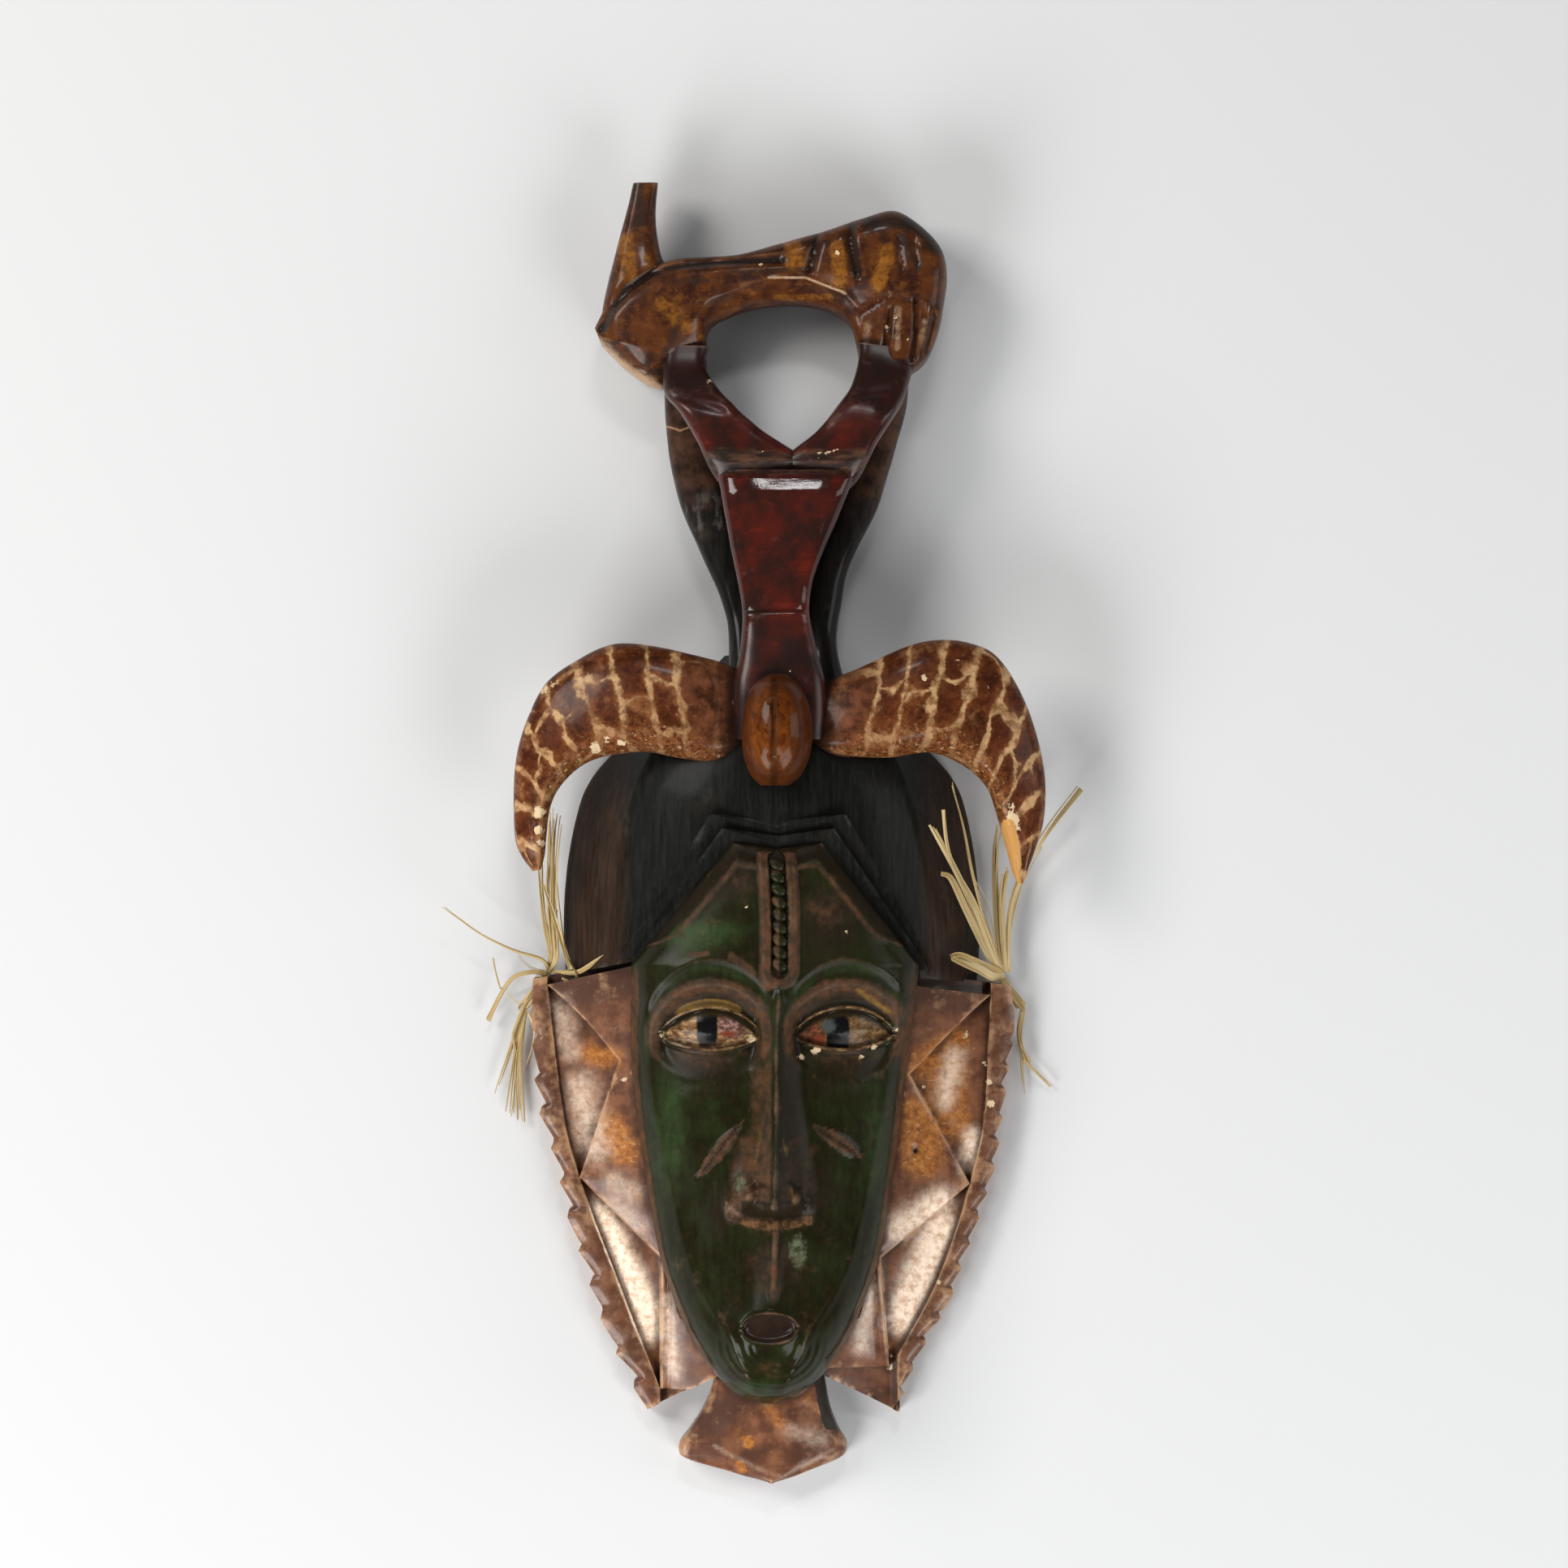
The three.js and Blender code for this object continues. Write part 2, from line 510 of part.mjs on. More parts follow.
// Crest: an upside-down figure whose raised legs carry an animal, with two straps behind it.
const FIGURE = {
  back: [
    [-17.6, 40, 21.4, 40, 30, 62], [-17.6, 60.7, 21.4, 60.7, 34, 62], [-14.5, 77.7, 17.4, 77.7, 37, 60],
    [-13.8, 94.3, 14.3, 95, 36, 57], [-17.2, 113.3, 18, 112.6, 34, 58], [-21.6, 138, 27.5, 132.6, 33, 60],
    [-25.7, 152.9, 34.3, 146.1, 33, 58],
  ],
  leftLeg: [
    [-21, 128.9, 15.4, 142.5, 34, 58], [-24.1, 147.6, 12, 155.4, 33, 57], [-32.9, 164.6, -6.7, 170.4, 31, 54],
    [-39.7, 176.5, -16.9, 179.9, 29, 51], [-46.5, 185.3, -23.8, 187.4, 26, 48], [-46.9, 196.9, -29.2, 196.9, 22, 43],
    [-45.9, 205.4, -28.2, 205.4, 18, 39],
  ],
  rightLeg: [
    [-1.6, 139.1, 29, 128.9, 34, 58], [3.5, 154.4, 33.1, 144.5, 33, 57], [18.1, 169.7, 41.9, 162.2, 31, 54],
    [26.9, 180.6, 49.4, 173.8, 29, 51], [32, 188.7, 54.1, 183.3, 26, 48], [35.1, 200.3, 57.5, 194.2, 22, 43],
    [35.1, 207.1, 56.9, 203.7, 18, 39],
  ],
};
const STRAPS = [
  [
    [-20.3, 55, -1.7, 55, 4, 40], [-19.6, 81.9, -5.1, 81.9, 4, 30], [-23, 100.1, -8.6, 100.1, 3, 26],
    [-30.9, 118, -13.7, 119.8, 2, 24], [-40.2, 139.7, -20.6, 143.8, 1, 23], [-44.7, 159.3, -25.1, 164.5, 1, 24],
    [-46.8, 179.9, -27.8, 183.4, 2, 26], [-46.4, 202.3, -29.2, 202.3, 4, 28],
  ],
  [
    [3.5, 55, 32.7, 55, 4, 40], [7.9, 78.5, 26.2, 78.5, 4, 30], [10.3, 99.1, 28.2, 99.1, 3, 26],
    [15.5, 116.3, 32, 114.9, 2, 24], [25.1, 140.4, 43, 137.6, 1, 23], [32, 166.2, 51.3, 164.5, 1, 24],
    [36.1, 188.5, 55.7, 181.6, 2, 26], [36.8, 205.7, 56.8, 204, 4, 28],
  ],
];
function crest() {
  const head = new THREE.SphereGeometry(1, 10, 8);
  head.rotateX(Math.PI / 2).scale(14.6, 22.5, 17).translate(1, 43.5, 64);
  const figure = Object.values(FIGURE).map((stations) => between({ stations, section: round(4.5), rings: 9, sides: 8 }));
  const straps = STRAPS.map((stations) => between({ stations, section: round(3), rings: 8, sides: 8 }));
  return [solid(head), ...figure, ...straps, ...animal()];
}

// The animal: a thick body arched over the opening, with its raised tail on the left and its bowed head on the
// right. Its back and the top of its head are the left edge of each station.
const ANIMAL = {
  body: [
    [-76.1, 213.7, -73.3, 206.8, 8, 32], [-69.5, 225, -61.7, 195.5, 4, 38], [-58.2, 235.9, -46.9, 188, 3, 40],
    [-44.2, 242.1, -30.5, 199.3, 3, 41], [-27.4, 243.5, -28.4, 212, 3, 41], [-13.7, 244.9, -21.2, 217.8, 3, 41],
    [4.8, 249.7, -8.5, 222.2, 3, 41], [22.3, 254.8, 7.9, 223.6, 3, 41], [36.7, 259.3, 22.3, 220.9, 3, 42],
    [53.2, 262, 31.9, 214.7, 3, 42], [71.3, 244.5, 35, 204.4, 3, 42], [70.3, 218.8, 36, 196.5, 4, 42],
    [65.1, 201.7, 41.2, 193.1, 6, 40], [57.3, 194.1, 48, 192.1, 10, 34],
  ],
  tail: [
    [-73.7, 212.6, -36, 217.1, 4, 38], [-71.9, 227.4, -44.2, 236.6, 5, 37], [-67.8, 244.5, -48.3, 245.5, 9, 34],
    [-63.4, 259.9, -50.4, 260.6, 14, 31], [-59.9, 274.8, -49.3, 274.8, 18, 29],
  ],
};
function animal() {
  const body = between({ stations: ANIMAL.body, section: round(3.6), rings: 19 });
  const tail = between({ stations: ANIMAL.tail, section: round(3), rings: 7, sides: 8 });
  return [GROOVES.reduce((left, path) => left.subtract(groove(path)), body), tail];
}

// Grooves cut into the top of the animal: two bands across its body, and one behind the tail.
const GROOVES = [
  [[20, 258], [18.5, 247], [16.5, 236]],
  [[34, 262], [32.5, 249], [30.5, 236]],
  [[-73, 213], [-62, 228], [-46, 236], [-28, 240]],
];
function groove(points) {
  return sweep({
    path: points.map(([x, y]) => [x, y, 41.5]),
    width: points.map(() => 3),
    thick: points.map(() => 4.5),
    rings: 4,
    sides: 6,
  });
}

// The hollow behind the face, open at the back.
const HOLLOW = { topY: 46, footY: -206, depth: 45 };
const hollowHalfWidth = [
  [HOLLOW.footY, 4], [-202, 16], [-190, 27], [-160, 40], [-110, 47], [-60, 56], [-20, 58], [15, 50], [36, 30],
  [HOLLOW.topY, 6],
];
const hollowDepth = [
  [HOLLOW.footY, 8], [-202, 18], [-190, 28], [-160, 38], [-110, 43], [-60, HOLLOW.depth], [-10, 42], [25, 33],
  [HOLLOW.topY, 10],
];
function hollow() {
  const rows = [HOLLOW.footY, -202, -190, -160, -115, -60, -10, 20, 36, HOLLOW.topY];
  const below = 5;
  return skin(
    rows.map((y) => {
      const [half, depth] = [along(hollowHalfWidth, y), along(hollowDepth, y)];
      const arch = evenly(8).map((t) => {
        const [a, b] = round(2.4)(Math.PI * t);
        return new THREE.Vector3(HAIR_CENTRE + a * half, y, b * depth);
      });
      const ends = [-half, half].map((x) => new THREE.Vector3(HAIR_CENTRE + x, y, -below));
      return [...arch, ...ends];
    }),
  );
}

// Raffia

// A slanted hole through the collar's upper corner, from its top edge to its outer edge, takes a tuft.
const TUFT_HOLE = { radius: 4, z: 6.3, from: [92, -54], to: [112, -82] };
function tuftHole(side) {
  const { radius, z, from, to } = TUFT_HOLE;
  const points = [from, [(from[0] + to[0]) / 2, (from[1] + to[1]) / 2], to];
  return sweep({
    path: points.map(([x, y]) => [COLLAR_CENTRE + side * x, y, z]),
    width: points.map(() => 2 * radius),
    thick: points.map(() => 2 * radius),
    section: round(2),
    rings: 2,
    sides: 10,
  });
}

// A tuft is a bundle through its hole with strands fused to both ends. Each strand is a list of points.
const TUFTS = {
  "-1": [
    [[-97, -57, 7], [-95, -45, 9], [-98, -28, 10], [-100, -8, 10], [-98, 12, 11]],
    [[-96, -57, 7], [-92, -44, 9], [-95, -25, 11], [-97, -5, 12], [-93, 18, 13]],
    [[-95, -57, 7], [-90, -46, 10], [-92, -30, 13], [-96, -14, 15]],
    [[-95.5, -57, 7], [-86, -50, 17], [-74, -44, 38]],
    [[-107, -73.5, 6], [-111, -80, 6], [-113, -95, 5], [-115, -120, 4]],
    [[-107, -74, 6], [-109, -84, 5], [-108, -104, 4], [-107, -118, 4]],
    [[-107, -73, 7], [-114, -66, 8], [-122, -74, 7], [-126.5, -87, 6]],
  ],
  1: [
    [[97, -57, 7], [86, -36, 22], [77, -14, 34], [72, -1, 40]],
    [[97, -57, 7], [89, -34, 18], [83, -10, 28], [79, 10, 34]],
    [[96.5, -57, 7], [93, -36, 14], [88, -8, 18], [82, 19, 22]],
    [[96, -57, 7], [96, -38, 10], [97, -20, 12], [97, 2, 13]],
    [[97, -57, 7], [103, -36, 9], [114, -8, 12], [126, 15, 14]],
    [[96, -57, 7], [88, -52, 16], [80, -48, 24], [74, -47, 26]],
    [[105.5, -74, 6], [106, -86, 5], [108, -98, 4], [112, -107, 4]],
  ],
};

const BUNDLE = [[94.3, -57.2], [100, -65.2], [106.3, -74]]; // the middle of the bundle, along the hole
function tuft(side) {
  const bundle = sweep({
    path: BUNDLE.map(([x, y]) => [COLLAR_CENTRE + side * x, y, TUFT_HOLE.z]),
    width: [7, 6.4, 5.6],
    thick: [7, 6.4, 5.6],
    section: round(2),
    rings: 2,
    sides: 8,
  });
  const strands = TUFTS[side].map((path) => {
    const size = path.map((_, i) => 2 * STRAND_RADIUS * (i === path.length - 1 ? 0.6 : 1));
    return sweep({ path, width: size, thick: size.map((s) => s * 0.8), section: round(2), rings: 5, sides: 4 });
  });
  return join([bundle, ...strands]);
}

// Assembly

function maskBody() {
  const head = [face(), ...beads(), ...SCARS.flatMap(scar), hairlineBand(1), hairlineBand(2), hair(), bib()];
  const sides = [-1, 1].flatMap((side) => [wing(side), horn(side)]);
  const cuts = [hollow(), tuftHole(-1), tuftHole(1)];
  return cuts.reduce((left, cut) => left.subtract(cut), join([...head, ...sides, ...crest()]));
}

function mesh(name, made, color, roughness) {
  const { vertProperties, triVerts } = made.getMesh();
  const geometry = new THREE.BufferGeometry()
    .setAttribute("position", new THREE.BufferAttribute(vertProperties, 3))
    .setIndex(new THREE.BufferAttribute(triVerts, 1));
  geometry.computeVertexNormals();
  const result = new THREE.Mesh(geometry, new THREE.MeshStandardMaterial({ color, roughness, metalness: 0 }));
  result.name = name;
  return result;
}

const mask = new THREE.Group();
mask.add(
  mesh("carved_mask", maskBody(), 0x4a2a1c, 0.3),
  mesh("raffia_left", tuft(-1), 0xd8c48a, 0.8),
  mesh("raffia_right", tuft(1), 0xd8c48a, 0.8),
);
export default mask;
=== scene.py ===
"""A carved and painted wooden face mask with curled horns and an openwork crest, lying on its back.

The shape functions work in millimetres and the meshes are in metres. +X is to the right of the face, +Y runs
from the chin to the crest, +Z is out of the face, and z = 0 is the plane of the back rim.
"""

import bmesh
import bpy
import numpy as np
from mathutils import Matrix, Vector


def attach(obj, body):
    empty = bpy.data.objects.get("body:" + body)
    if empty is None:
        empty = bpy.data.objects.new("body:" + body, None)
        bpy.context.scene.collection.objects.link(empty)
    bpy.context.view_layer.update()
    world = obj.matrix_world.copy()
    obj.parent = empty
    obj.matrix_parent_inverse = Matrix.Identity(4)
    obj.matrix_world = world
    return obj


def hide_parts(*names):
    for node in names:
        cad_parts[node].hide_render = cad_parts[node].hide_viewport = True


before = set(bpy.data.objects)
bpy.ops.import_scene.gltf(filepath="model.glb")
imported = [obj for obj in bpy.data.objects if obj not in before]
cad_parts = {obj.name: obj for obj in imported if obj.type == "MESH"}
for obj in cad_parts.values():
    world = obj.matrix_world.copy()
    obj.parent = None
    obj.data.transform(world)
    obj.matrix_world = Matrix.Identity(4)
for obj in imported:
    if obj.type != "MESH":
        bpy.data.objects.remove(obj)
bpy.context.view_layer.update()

MM = 0.001

# Driving dimensions of the carving
CHIN_Y = -239.0
HAIRLINE_Y = -3.0
TEMPLE_Y = -54.0
COLLAR_TOP_Y = -61.0
BIB_TIP_Y = -275.0
BIB_TOP_Y = -222.0
NOSE_TOP_Y = -62.0
NOSE_FOOT_Y = -158.5
EYE = {"x": 28.0, "y": -82.5, "half": 20.0, "lift": 9.6, "drop": 5.2, "point": 0.8}
MOUTH = {"x": -2.3, "y": -204.6, "half": 11.0, "lift": 4.9, "drop": 5.0, "point": 0.5}
HAIR_BAND_DROP = 2.2


# Curves

def along(knots, s):
    """Smooth curve through (position, value) knots with no overshoot: a cubic between knots, whose slope at
    each knot is the harmonic mean of the slopes beside it."""
    at, value = np.array(knots, float).T
    slope = np.diff(value) / np.diff(at)
    before, after = slope[:-1], slope[1:]
    same_way = before * after > 0
    mean = np.where(same_way, 2 * before * after / np.where(same_way, before + after, 1), 0)
    tangent = np.concatenate([slope[:1], mean, slope[-1:]])
    s = np.clip(s, at[0], at[-1])
    i = np.clip(np.searchsorted(at, s, side="right") - 1, 0, len(slope) - 1)
    span = at[i + 1] - at[i]
    t = (s - at[i]) / span
    rise_in = tangent[i] * span * (t**3 - 2 * t**2 + t)
    rise_out = tangent[i + 1] * span * (t**3 - t**2)
    return value[i] * (2 * t**3 - 3 * t**2 + 1) + rise_in + value[i + 1] * (3 * t**2 - 2 * t**3) + rise_out


def rise(a, b, s):
    """0 before a, 1 after b and a smooth rise between them. With a > b it falls instead."""
    t = np.clip((s - a) / (b - a), 0, 1)
    return t * t * (3 - 2 * t)


def bump(distance, reach):
    """1 at no distance, falling as a bell curve whose reach is given."""
    return np.exp(-((distance / reach) ** 2))


def mix(a, b, t):
    """The value a share t of the way from a to b."""
    return a + (b - a) * t


def runs(*stretches):
    """Positions in several stretches of even spacing, each given as (from, to, count)."""
    return np.unique(np.concatenate([np.linspace(*stretch) for stretch in stretches]))


def length_along(points):
    """Length from the first point to each point of a line."""
    return np.concatenate([[0], np.cumsum(np.linalg.norm(np.diff(points, axis=0), axis=1))])


def squarer(value, power):
    """Turns a cosine or a sine into a coordinate of a superellipse: power 2 is a circle, more is squarer."""
    return np.sign(value) * np.abs(value) ** (2 / power)


def spline(stations, s):
    """Catmull-Rom curve through evenly spaced stations, at s from 0 to 1."""
    p = np.array(stations, float)
    last = len(p) - 1
    at = np.asarray(s) * last
    i = np.minimum(at.astype(int), last - 1)
    t = (at - i)[:, None]
    before, start, end, after = (p[np.clip(i + k, 0, last)] for k in (-1, 0, 1, 2))
    leave, arrive = (end - before) / 2, (after - start) / 2
    cubic = 2 * start - 2 * end + leave + arrive
    square = -3 * start + 3 * end - 2 * leave - arrive
    return ((cubic * t + square) * t + leave) * t + start


def to_path(x, y, path):
    """Distance from each point to a line through the path's points: the least over its straight stretches."""
    least = np.full(np.shape(x), np.inf)
    for (x0, y0), (x1, y1) in zip(path[:-1], path[1:]):
        run, climb = x1 - x0, y1 - y0
        t = np.clip(((x - x0) * run + (y - y0) * climb) / (run**2 + climb**2), 0, 1)
        least = np.minimum(least, np.hypot(x - x0 - t * run, y - y0 - t * climb))
    return least


def hills(points, wavelength, seed):
    """Smooth random hills from -1 to 1: each corner of a cubic lattice has a random value, and a point takes
    the values of its eight corners, weighted by a smooth step in each direction."""
    p = np.asarray(points, float) / wavelength + 31.7 * seed
    base = np.floor(p).astype(np.int64)
    t = p - base
    t = t * t * (3 - 2 * t)
    total = np.zeros(len(p))
    for corner in np.ndindex(2, 2, 2):
        cell = base + np.array(corner)
        mixed = (cell[:, 0] * 73856093) ^ (cell[:, 1] * 19349663) ^ (cell[:, 2] * 83492791)
        mixed = ((mixed ^ (mixed >> 13)) * 1274126177) & 0x7FFFFFFF
        mixed = ((mixed ^ (mixed >> 15)) * 2246822519) & 0x7FFFFFFF
        value = mixed / 0x3FFFFFFF - 1
        total += value * np.prod(np.where(corner, t, 1 - t), axis=1)
    return total


# Closed surfaces. A form is a dict of its points, its faces, the uv of each face corner, and its finish.

def tube(rings, finish, lengths=None, girth=1):
    """A closed surface through rings of points, an array (rings, around, 3), each end closed by a fan. The uv
    is the length along it, and the share of the way round times the girth, in millimetres."""
    count, around = rings.shape[:2]
    size = count * around
    index = np.arange(size).reshape(count, around)
    index = np.column_stack([index, index[:, 0]])
    u = np.arange(count) if lengths is None else lengths
    grid = np.stack(np.broadcast_arrays(u[:, None], np.linspace(0, 1, around + 1) * girth), -1)
    behind, ahead = slice(None, -1), slice(1, None)
    square = [(behind, behind), (behind, ahead), (ahead, ahead), (ahead, behind)]
    quads = np.stack([index[at] for at in square], -1).reshape(-1, 4)
    quad_uv = np.stack([grid[at] for at in square], 2).reshape(-1, 4, 2)
    fans = [(size, 0, ahead, behind), (size + 1, -1, behind, ahead)]
    tris = [np.stack([np.full(around, hub), index[row, p], index[row, q]], -1) for hub, row, p, q in fans]
    tri_uv = [np.stack([grid[row, behind], grid[row, p], grid[row, q]], 1) for _, row, p, q in fans]
    tris, tri_uv = np.concatenate(tris), np.concatenate(tri_uv)
    points = np.concatenate([rings.reshape(-1, 3), rings[[0, -1]].mean(axis=1)])
    corner = points[np.concatenate([quads[:, [0, 1, 2]], quads[:, [0, 2, 3]], tris])]
    volume = np.einsum("ij,ij->i", corner[:, 0], np.cross(corner[:, 1], corner[:, 2])).sum()
    if volume < 0:
        quads, tris, quad_uv, tri_uv = (each[:, ::-1] for each in (quads, tris, quad_uv, tri_uv))
    uv = np.concatenate([quad_uv.reshape(-1, 2), tri_uv.reshape(-1, 2)])
    return {"points": points, "faces": quads.tolist() + tris.tolist(), "uv": uv, "finish": finish}


def slab(x, y, z, finish):
    """A closed slab under a grid of top points, down to the back plane."""
    top = np.stack(np.broadcast_arrays(x, y, z), -1)
    foot = top[:, [-1, 0]] * np.array([1, 1, 0])
    return tube(np.concatenate([top, foot], axis=1), finish)


def outline(power, count, lean=None, top=1.0):
    """Points of a superellipse at even distances round it, from the middle of its underside. lean(a, b)
    gives them their final place across and up, and top is how much closer they lie on the upper half."""
    angle = np.linspace(-0.5 * np.pi, 1.5 * np.pi, 2001)
    a, b = squarer(np.cos(angle), power), squarer(np.sin(angle), power)
    if lean:
        a, b = lean(a, b)
    step = np.hypot(np.diff(a), np.diff(b)) * np.where(b[1:] > 0.1, top, 1.0)
    length = np.concatenate([[0], np.cumsum(step)])
    even = np.linspace(0, length[-1], count + 1)[:-1]
    return np.stack([np.interp(even, length, a), np.interp(even, length, b)], -1)


def between(stations, section, rings, finish, carve=None, girth=60.0):
    """A bar between two edges. Each station is (x left, y left, x right, y right, z under, z top), a smooth
    curve runs through the stations, and the section is stretched between the edges. carve(x, y) lowers the
    upper side."""
    s = np.linspace(0, 1, rings)
    x0, y0, x1, y1, under, top = (column[:, None] for column in spline(stations, s).T)
    u, w = (1 + section[:, 0]) / 2, (1 + section[:, 1]) / 2
    x, y, z = x0 + (x1 - x0) * u, y0 + (y1 - y0) * u, under + (top - under) * w
    if carve:
        z = z - carve(x, y) * rise(0.55, 0.85, w)
    middle = np.stack([(x0 + x1) / 2, (y0 + y1) / 2], -1)[:, 0]
    return tube(np.stack([x, y, z], -1), finish, length_along(middle), girth)


def sweep(path, width, thick, section, rings, finish, turn=0.0):
    """A bar carried along a smooth path, with its own width (level, across the path) and thickness at each
    point of the path. turn is how far its section turns along the way, in radians."""
    s = np.linspace(0, 1, rings)
    centre = spline(path, s)
    heading = np.gradient(centre, axis=0)
    heading /= np.linalg.norm(heading, axis=1)[:, None]
    across = np.stack([-heading[:, 1], heading[:, 0], np.full(rings, 1e-6)], -1)
    across /= np.linalg.norm(across, axis=1)[:, None]
    up = np.cross(heading, across)
    at = np.linspace(0, 1, len(width))
    half_width, half_thick = np.interp(s, at, width) / 2, np.interp(s, at, thick) / 2
    angle = turn * s
    a = section[:, 0] * half_width[:, None]
    b = section[:, 1] * half_thick[:, None]
    level = a * np.cos(angle)[:, None] - b * np.sin(angle)[:, None]
    lift = a * np.sin(angle)[:, None] + b * np.cos(angle)[:, None]
    ring = centre[:, None] + across[:, None] * level[..., None] + up[:, None] * lift[..., None]
    return tube(ring, finish, length_along(centre), 6.0)


# Face. A curve is a list of (y, value) knots, here and further down.

FACE_CENTRE = [(CHIN_Y, -2.6), (-176, -2.2), (-110, -2.6), (TEMPLE_Y, 0), (HAIRLINE_Y, 1.3)]
FACE_HALF_WIDTH = [
    (CHIN_Y, 5), (-237, 12), (-233, 17.5), (-226.4, 23.4), (-213.8, 31.9), (-195.7, 40.3), (-176.2, 46.6),
    (-145.4, 52), (-109.6, 56.9), (-80, 59.3), (TEMPLE_Y, 60.1),
]
HAIRLINE_HALF_WIDTH = 18.6
HAIRLINE_DIP = 6.5
EDGE_HEIGHT = [
    (CHIN_Y, 20), (-225, 24), (-180, 26), (-110, 29), (-80, 34), (TEMPLE_Y, 43), (HAIRLINE_Y, 60),
]
MIDDLE_HEIGHT = [
    (CHIN_Y, 32), (-234, 46), (-226, 54), (-205, 60), (-170, 60), (-130, 61), (-90, 62), (-60, 67),
    (-30, 67), (HAIRLINE_Y, 63),
]
FEATURE_LINE = [
    (CHIN_Y, -3), (MOUTH["y"], MOUTH["x"]), (NOSE_FOOT_Y, -0.6), (-130, 0.6), (-85, 0.8), (NOSE_TOP_Y, 2),
    (-35, 2), (-5, 0.5),
]
NOSE_HEIGHT = [(-158, 22), (-150, 19.5), (-130, 14), (-100, 9), (-75, 5.5), (NOSE_TOP_Y, 2)]
NOSE_HALF_WIDTH = [(NOSE_FOOT_Y, 19), (-147, 18.5), (-130, 15.5), (-100, 11.5), (NOSE_TOP_Y, 8)]
ARRIS = [(CHIN_Y, 0.3), (-204, 0.49), (-192, 0.62), (-177, 0.71), (-126, 0.82), (-107, 0.85), (-60, 0.88)]
STRIP = {"from": 3.4, "to": 7.8, "top": -9.0, "foot": -55.6, "beads": 9}
SCARS = [((-12.5, -118.0), (-33.0, -143.5)), ((14.8, -119.5), (37.2, -134.6))]
SCAR_HALF_WIDTH = 3.4
NOSE_FRAME = [
    (-16.6, -139), (-19, -150), (-18.4, -157.6), (-10, -161), (-1.3, -162.2), (7, -161.4), (14, -160),
]
# The wings of the nose: middle across, middle up, how much taller than wide, reach and height.
NOSE_WINGS = [(-10.6, -148.5, 1.35, 5.6, 10), (8.6, -150, 1.1, 4.8, 9.5)]
# The creases beside them: line and depth.
NOSE_CREASES = [
    ([(-12.6, -148), (-7, -144.6), (-3, -144.8)], 1.2),
    ([(5.3, -142.5), (10.2, -145.7), (13.2, -151.5), (12.4, -156)], 1.5),
]
EYE_KNOB = (50.0, -85.5)
CHIN_RINGS = (-1.0, -211.5)


def above_temples(y):
    """0 at the temples, 1 at the hairline."""
    return np.clip((y - TEMPLE_Y) / (HAIRLINE_Y - TEMPLE_Y), 0, 1)


def half_width_of_face(y):
    """Half the width of the face: its outline up to the temples, then a straight taper to the hairline."""
    return mix(along(FACE_HALF_WIDTH, np.minimum(y, TEMPLE_Y)), HAIRLINE_HALF_WIDTH, above_temples(y))


def nose(x, y):
    """The nose: a narrow crest that ends in a bulb, hollow flanks, soft wings at its foot with a crease by
    each, and a slanting underside with a nostril on each side."""
    foot = rise(NOSE_FOOT_Y - 1.2, NOSE_FOOT_Y + 5.5, y)
    top = rise(NOSE_TOP_Y + 3, NOSE_TOP_Y - 8, y)
    across = np.minimum(1, np.abs(x) / along(NOSE_HALF_WIDTH, y))
    flank = along(NOSE_HEIGHT, y) * (1 - across) ** 1.6
    crest = 1.1 * bump(x, 1.9) + 1.3 * bump(np.hypot(x - 0.2, y - NOSE_FOOT_Y - 7.5), 2.6)
    wings = flank**4
    for cx, cy, taller, reach, height in NOSE_WINGS:
        wings = wings + (height * bump(np.hypot(x - cx, (y - cy) / taller), reach)) ** 4
    wings = wings**0.25
    creases = sum(depth * bump(to_path(x, y, path), 1.0) for path, depth in NOSE_CREASES)
    nostril = 1.7 * bump(np.abs(x) - 7.6, 2.8) * bump(y - NOSE_FOOT_Y - 3.2, 2.0)
    return foot * (top * (wings + crest) - creases - nostril)


def opening(distance, shape):
    """How far an opening has opened at a distance from its middle, from 0 to 1: an ellipse where its point is
    0.5, and an almond above that."""
    return np.maximum(0, 1 - (distance / shape["half"]) ** 2) ** shape["point"]


def within(distance, shape):
    """1 along the length of an opening, falling to 0 just past its corners."""
    return rise(shape["half"] + 2, shape["half"] - 1, np.abs(distance))


def out_of(dx, dy, shape):
    """Distance up or down out of an almond opening, negative inside it."""
    open_by = opening(dx, shape)
    return np.maximum(dy - shape["lift"] * open_by - 1, -shape["drop"] * open_by - 0.8 - dy)


def brow_ring(dx, dy):
    """1 on the arc of the brow, less inside it."""
    return np.hypot(dx / 28.5, (dy + 3) / 33)


def socket_ring(dx, dy):
    """1 on the worn rim of the eye socket, less inside it."""
    return np.hypot(dx / 24, (dy + 1) / 21.8)


def eye(dx, dy):
    """An eye, dx outwards and dy up: a low step at the brow, a hollow socket with a soft rim, swelling lids
    with a fold under them, and the almond opening with the ball in it and thin rims round it."""
    upper = rise(-22, -4, dy)
    ring, rim = brow_ring(dx, dy), socket_ring(dx, dy)
    brow = -1.1 * rise(1.05, 0.94, ring) + 0.3 * bump((ring - 1.05) * 30, 1.2) - 0.7 * rise(0.96, 0.8, ring)
    socket = 0.6 * bump((rim - 1.04) * 23, 3.0) - 3.4 * rise(1.02, 0.78, rim)
    swell = bump(np.hypot(dx / 25, dy / 17), 1)
    fold = -0.35 * bump(dy + 10.2 - 0.01 * dx**2, 1.0) * rise(15, 8, np.abs(dx))
    outside = out_of(dx, dy, EYE)
    ball = -1.7 * rise(0.15, -0.9, outside) + 1.2 * rise(-1, -7, outside)
    rims = 0.85 * bump(outside - 0.7, 0.9) - 0.4 * bump(outside - 2.6, 1.0)
    return upper * (brow + socket) + 3.6 * swell + fold + within(dx, EYE) * (ball + rims)


